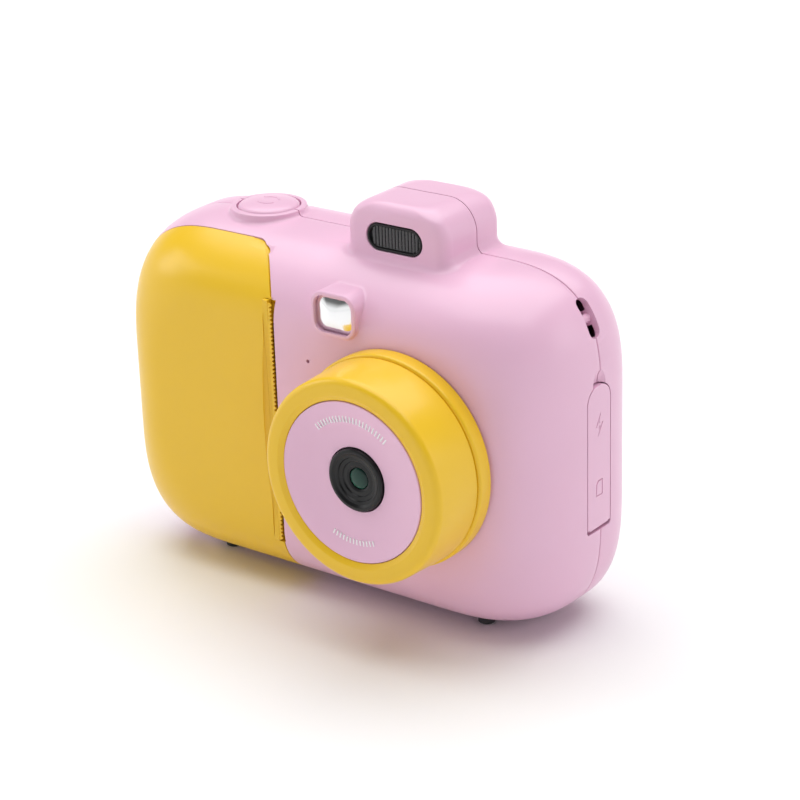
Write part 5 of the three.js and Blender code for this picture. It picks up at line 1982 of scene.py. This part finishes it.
@dataclass
class ShutterButton:
    """The domed shutter button with two short raised marks."""

    radius: float = 7.4

    def build(self) -> None:
        """Builds the button."""
        low, high = DATUM.box("shutter_button")
        flange = CASING.half_height - WALL - GAP
        rim = CASING.half_height + COLLAR.rise + 0.1
        top = high[2]
        reach, base = self.radius * 0.95, rim - 0.05
        turns = np.linspace(0, 1.35, 16)
        curve = [(math.sin(a) * reach, base + (top - base) * math.cos(a)) for a in turns]
        curve[0] = (0.0, top)
        profile = curve + [
            (self.radius - 0.14, rim - 0.2),
            (self.radius, rim - 0.6),
            (self.radius, flange),
            (self.radius + 1.1, flange),
            (self.radius + 1.1, flange - 1.3),
            (1.5, flange - 1.3),
            (1.5, low[2]),
            (0.0, low[2]),
        ]
        form = turned(np.array(profile), (COLLAR.x, 0.0), Along.Z, 96)
        for side in (-1, 1):
            points = [arc((COLLAR.x, 0.0), r, 0, 360, 64)[:-1] for r in (2.25, 2.75)]
            ring = loft(
                [
                    lifted(np.array(points[0]), rim - 1, Along.Z),
                    lifted(np.array(points[1]), rim - 1, Along.Z),
                    lifted(np.array(points[1]), top + 0.02, Along.Z),
                    lifted(np.array(points[0]), top + 0.02, Along.Z),
                ],
                closed=True,
            )
            low_y, high_y = sorted((side * 3.0, side * 1.2))
            piece = ring.meet(box((COLLAR.x - 3, low_y, rim - 2), (COLLAR.x + 3, high_y, top + 1)))
            form = form.join(piece)
        add_piece("shutter_cap", form, Body.SHUTTER, Slot.PINK, ["shutter_button"])


@dataclass
class ButtonSpring:
    """The coil spring under the button, wound at rest; it is not made to flatten as the button goes
    down.
    """

    radius: float = 2.5
    wire: float = 0.25
    turns: float = 4.5
    travel: float = 0.9

    def build(self) -> None:
        """Winds the wire up round the button's axis."""
        low, high = DATUM.box("shutter_spring")
        bottom, top = low[2] + self.wire, high[2] - self.wire
        rows = []
        for k in range(145):
            share = k / 144
            turn = 2 * math.pi * self.turns * share
            outward = np.array([math.cos(turn), math.sin(turn), 0.0])
            centre = outward * self.radius + (COLLAR.x, 0.0, bottom + (top - bottom) * share)
            circle = arc((0.0, 0.0), self.wire, 0, 360, 8)[:-1]
            rows.append(np.array([centre + outward * a + (0.0, 0.0, b) for a, b in circle]))
        spring = add_piece("button_spring", loft(rows), Body.CAMERA, Slot.STEEL, ["shutter_spring"])
        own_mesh(spring)


# ---------------------------------------------------------------- right side


@dataclass
class PortFlap:
    """The long flap over the sockets, with engraved plain pictures of what is behind it."""

    engraving: float = 0.3

    def bolt(self) -> Outline:
        """A charging bolt, in y and z.

        Returns:
            The outline.
        """
        y, z = PORT.centre_y, 8.2
        points = [(0.6, 3.0), (-1.5, -0.4), (-0.1, -0.4), (-0.6, -3.0), (1.5, 0.4), (0.1, 0.4)]
        return np.array([(y + a, z + b) for a, b in points])

    def card(self) -> Outline:
        """A small card with one cut corner, in y and z.

        Returns:
            The outline.
        """
        y, z = PORT.centre_y, -7.0
        points = [(-1.3, -1.9), (1.3, -1.9), (1.3, 1.9), (-0.5, 1.9), (-1.3, 1.1)]
        return np.array([(y + a, z + b) for a, b in points])

    def build(self) -> None:
        """Builds the flap and the strap bar."""
        inner_x = CASING.half_width - PORT.flap_thickness
        panel = prism(PORT.outline(-GAP), inner_x, CASING.half_width + 3, Along.X)
        skin = CASING.half_width - self.engraving
        marks = []
        for outline in (self.bolt(), self.card()):
            turned_round = outline if signed_area(outline) > 0 else outline[::-1]
            picture = prism(turned_round, skin, CASING.half_width + 3, Along.X)
            core = prism(inset(turned_round, 0.38), skin - 1, CASING.half_width + 4, Along.X)
            marks.append(picture.cut(core))
        whole = panel.meet(whole_casing()).cut(*marks)
        axis = (CASING.half_width - 0.9, PORT.bottom + 1.2)
        nose = bar(axis, 0.8, PORT.centre_y - 3.7, PORT.centre_y + 3.7, Along.Y, 32)
        low = box((0, -FAR, -FAR), (FAR, FAR, PORT.bottom + 1.2))
        whole = whole.cut(low).join(nose.meet(whole_casing()))
        add_piece("socket_flap", whole, Body.FLAP, Slot.PINK, ["port_flap"])
        add_piece("strap_crossbar", STRAP.crossbar(), Body.CAMERA, Slot.PINK, ["strap_bar"])


def signed_area(outline: Outline) -> float:
    """Twice the area inside an outline, positive if it runs counter-clockwise."""
    a, b = outline, np.roll(outline, -1, 0)
    return float(np.sum(a[:, 0] * b[:, 1] - b[:, 0] * a[:, 1]))


def whole_casing() -> Form:
    """The outer form of both halves as one solid."""
    return CASING.front(0.0, 0.0, 30).join(CASING.rear(-0.01, 0.0, 12))


# ---------------------------------------------------------------- rear side


class Sign(Enum):
    """A plain picture on a round key."""

    RING = "ring"
    LINES = "lines"
    POWER = "power"


@dataclass
class Keys:
    """The ring of arrow keys, the middle key and the two round keys."""

    x: float = KEYPAD_X
    z: float = KEYPAD_Z
    outer: float = 11.6
    inner: float = 5.2
    face_y: float = 19.7
    back_y: float = 15.4

    def arrow(self, name: str, turn: float) -> None:
        """One quarter of the ring with a triangle engraved in it.

        Args:
            name: the way the key points.
            turn: its middle's angle in degrees.
        """
        start, end, gap = turn - 45, turn + 45, 0.3
        trim_out, trim_in = math.degrees(gap / self.outer), math.degrees(gap / self.inner)
        centre = (self.x, self.z)
        rim = arc(centre, self.outer, start + trim_out, end - trim_out, 24)
        hub = arc(centre, self.inner, end - trim_in, start + trim_in, 14)
        cap = prism(np.array(rim + hub), self.back_y, self.face_y, Along.Y, 0.35)
        wide = arc(centre, self.outer + 0.9, start + trim_out, end - trim_out, 24)
        lip = prism(np.array(wide + hub), self.back_y, self.back_y + 1.2, Along.Y)
        a = math.radians(turn)
        middle = np.array(centre) + 8.4 * np.array([math.cos(a), math.sin(a)])
        points = [middle + 1.5 * np.array([math.cos(a + k), math.sin(a + k)]) for k in (0, 2.3, -2.3)]
        mark = prism(np.array(points), self.face_y - 0.4, self.face_y + 1, Along.Y)
        self.add(name, cap.join(lip).cut(mark))

    @staticmethod
    def add(name: str, form: Form) -> None:
        """Adds one key on its own body."""
        add_piece(f"{name}_button", form, Body(f"key_{name}"), Slot.YELLOW, [f"{name}_key"])

    def round_key(self, name: str, x: float, z: float, radius: float, lip: float, sign: Sign) -> None:
        """A round key with its picture.

        Args:
            name: the key's name.
            x: its middle across.
            z: its middle's height.
            radius: its radius.
            lip: how far its foot stands out.
            sign: its picture.
        """
        profile = [(0.0, self.back_y), (radius + lip, self.back_y), (radius + lip, self.back_y + 1.2)]
        profile += [(radius, self.back_y + 1.2)]
        profile += arc((radius - 0.5, self.face_y - 0.5), 0.5, 0, 90, 5)
        profile += [(0.0, self.face_y - 0.12)]
        form = turned(np.array(profile), (x, z), Along.Y, 64)
        top = self.face_y + 1
        floor = self.face_y - 0.45
        if sign is Sign.RING:
            hole = bar((x, z), 1.5, floor - 1, top + 1, Along.Y)
            disc = bar((x, z), 2.0, floor, top, Along.Y).cut(hole)
            marks = [disc]
        elif sign is Sign.LINES:
            levels = [z + step for step in (-0.9, 0.0, 0.9)]
            marks = [box((x - 1.3, floor, at - 0.2), (x + 1.3, top, at + 0.2)) for at in levels]
        else:
            hole = bar((x, z), 1.15, floor - 1, top + 1, Along.Y)
            ring = bar((x, z), 1.6, floor, top, Along.Y).cut(hole)
            ring = ring.cut(box((x - 0.6, floor - 1, z), (x + 0.6, top + 1, z + 2)))
            marks = [ring, box((x - 0.22, floor, z + 0.2), (x + 0.22, top, z + 1.9))]
        self.add(name, form.cut(*marks))

    def build(self) -> None:
        """Builds all seven keys."""
        for name, turn in (("right", 0), ("up", 90), ("left", 180), ("down", 270)):
            self.arrow(name, turn)
        self.round_key("ok", self.x, self.z, 4.6, 0.0, Sign.RING)
        menu_x, power_x = self.x + SIDE_KEY_REACH, self.x - SIDE_KEY_REACH
        self.round_key("menu", menu_x, SIDE_KEY_Z, 3.4, 0.8, Sign.LINES)
        self.round_key("power", power_x, SIDE_KEY_Z, 3.4, 0.8, Sign.POWER)


@dataclass
class Screen:
    """The glossy window over the display."""

    def build(self) -> None:
        """Builds the window."""
        depth = CASING.rear_depth
        seat = depth - 1.5 + GAP
        outline = rectangle((SCREEN_X, 0.0), 57.4, 43.4, 2.7, 10)
        pane = prism(outline, seat, depth - 0.1, Along.Y, 0.25)
        add_piece("screen_pane", pane, Body.CAMERA, Slot.SCREEN, ["screen_window"])


@dataclass
class Screws:
    """Case screws with cross recesses, and the four rubber feet."""

    names: tuple[str, ...] = ("left_low", "left_high", "right_low", "right_high")
    feet: tuple[str, ...] = ("left_front", "left_rear", "right_front", "right_rear")

    def build(self) -> None:
        """Builds the screws and the feet."""
        for name, place in zip(self.names, SCREW_PLACES):
            seat, length, head, shank = 9.1, 14.0, 2.2, 1.0
            tip = seat - length
            profile = [(0.0, tip), (shank * 0.5, tip + 0.6), (shank, tip + 1.4)]
            profile += [(shank, seat), (head, seat), (head, seat + 0.5)]
            turns = np.linspace(0.25, 1.45, 7)
            profile += [(head * math.cos(a), seat + 0.5 + math.sin(a)) for a in turns]
            profile += [(0.0, seat + 1.5)]
            form = turned(np.array(profile), place, Along.Y, 40)
            x, z = place
            cross = [
                box((x - 1.1, seat + 0.7, z - 0.2), (x + 1.1, seat + 3, z + 0.2)),
                box((x - 0.2, seat + 0.7, z - 1.1), (x + 0.2, seat + 3, z + 1.1)),
            ]
            add_piece(f"screw_{name}", form.cut(*cross), Body.CAMERA, Slot.STEEL, [f"case_screw_{name}"])
        for name, (x, y) in zip(self.feet, FOOT_PLACES):
            low, high = DATUM.box(f"foot_{name}")
            z0, z1 = low[2], high[2]
            profile = np.array([(0, z0), (1.7, z0), (2.0, z0 + 0.25), (2.0, z1), (0, z1)])
            pad = turned(profile, (x, y), Along.Z, 40)
            add_piece(f"pad_{name}", pad, Body.CAMERA, Slot.RUBBER, [f"foot_{name}"])


@dataclass
class CarriedOver:
    """The CAD nodes that stay as they are and only get their finish."""

    def build(self) -> None:
        """Gives every shown node the material of its slot."""
        slots = {row["node"]: row["material_slot"] for row in frame["record"]["subparts"]}
        for name, obj in frame["nodes"].items():
            if obj.hide_render:
                continue
            obj.data.materials.clear()
            obj.data.materials.append(finishes.slot(Slot(slots[name])))
            log.info("%s: carried over, %s", name, slots[name])


# ---------------------------------------------------------------- studio


@dataclass
class Studio:
    """A pale floor, soft lights and the camera."""

    stand: Point = (0.32978, -0.41208, 0.26051)
    azimuth: float = 37.29
    elevation: float = 22.05
    roll: float = 1.84
    lens: float = 110.56
    sky: float = 0.13

    def camera(self) -> None:
        """Sets up the view from the front right, a little above."""
        data = bpy.data.cameras.new("view")
        data.lens, data.sensor_width = self.lens, 36.0
        data.clip_start, data.clip_end = 0.01, 20.0
        obj = bpy.data.objects.new("view", data)
        a, e, r = (math.radians(v) for v in (self.azimuth, self.elevation, self.roll))
        back = Vector((math.sin(a) * math.cos(e), -math.cos(a) * math.cos(e), math.sin(e)))
        right = Vector((math.cos(a), math.sin(a), 0))
        up = back.cross(right)
        c, s = math.cos(r), math.sin(r)
        obj.matrix_world = Matrix((right * c - up * s, right * s + up * c, back)).transposed().to_4x4()
        obj.location = self.stand
        bpy.context.scene.collection.objects.link(obj)
        bpy.context.scene.camera = obj

    def floor(self) -> None:
        """A wide pale floor."""
        size = 0.95
        mesh = bpy.data.meshes.new("floor")
        corners = [(-size, -size, 0), (size, -size, 0), (size, size, 0), (-size, size, 0)]
        mesh.from_pydata(corners, [], [(0, 1, 2, 3)])
        obj = bpy.data.objects.new("floor", mesh)
        bpy.context.scene.collection.objects.link(obj)
        shader = Shader("floor_white")
        shader.put(Base_Color=(0.93, 0.93, 0.93, 1.0), Roughness=0.7)
        mesh.materials.append(shader.material)

    def lamp(self, name: str, place: Point, size: float, power: float) -> None:
        """A square soft light that faces the camera's middle.

        Args:
            name: the light's name.
            place: where it stands.
            size: its side.
            power: its watts.
        """
        data = bpy.data.lights.new(name, "AREA")
        data.shape, data.size, data.energy = "SQUARE", size, power
        obj = bpy.data.objects.new(name, data)
        obj.location = place
        aim = Vector((0.0, 0.0, 0.045)) - Vector(place)
        obj.rotation_euler = aim.to_track_quat("-Z", "Y").to_euler()
        bpy.context.scene.collection.objects.link(obj)

    def world(self) -> None:
        """A surround that is white up to a little above the horizon and dim overhead."""
        world = bpy.data.worlds.new("surround")
        world.use_nodes = True
        nodes, links = world.node_tree.nodes, world.node_tree.links
        place = nodes.new("ShaderNodeTexCoord")
        parts = nodes.new("ShaderNodeSeparateXYZ")
        fade = nodes.new("ShaderNodeMapRange")
        limits = {"From Min": 0.10, "From Max": 0.35, "To Min": 1.0, "To Max": self.sky}
        for name, value in limits.items():
            fade.inputs[name].default_value = value
        links.new(place.outputs["Generated"], parts.inputs[0])
        links.new(parts.outputs["Z"], fade.inputs["Value"])
        links.new(fade.outputs[0], nodes["Background"].inputs["Strength"])
        nodes["Background"].inputs["Color"].default_value = (1.0, 1.0, 1.0, 1.0)
        bpy.context.scene.world = world
        bpy.context.scene.view_settings.view_transform = "Standard"

    def build(self) -> None:
        """Builds the whole studio."""
        self.camera()
        self.floor()
        self.world()
        self.lamp("top", (-0.15, 0.40, 2.20), 3.0, 76.0)
        self.lamp("left", (-0.95, -0.35, 0.55), 0.5, 2.2)
        self.lamp("rim", (0.95, 0.45, 0.45), 0.5, 1.2)


def main() -> None:
    """Builds every group in order."""
    logging.basicConfig(level=logging.INFO, format="%(name)s: %(message)s")
    groups: list[Any] = [
        Studio(),
        Casings(),
        PaperCover(),
        PaperSupply(),
        LensTube(),
        Flash(),
        FrontMirror(),
        ShutterButton(),
        ButtonSpring(),
        PortFlap(),
        Keys(),
        Screen(),
        Screws(),
        CarriedOver(),
    ]
    for group in groups:
        group.build()


if __name__ == "__main__":
    main()
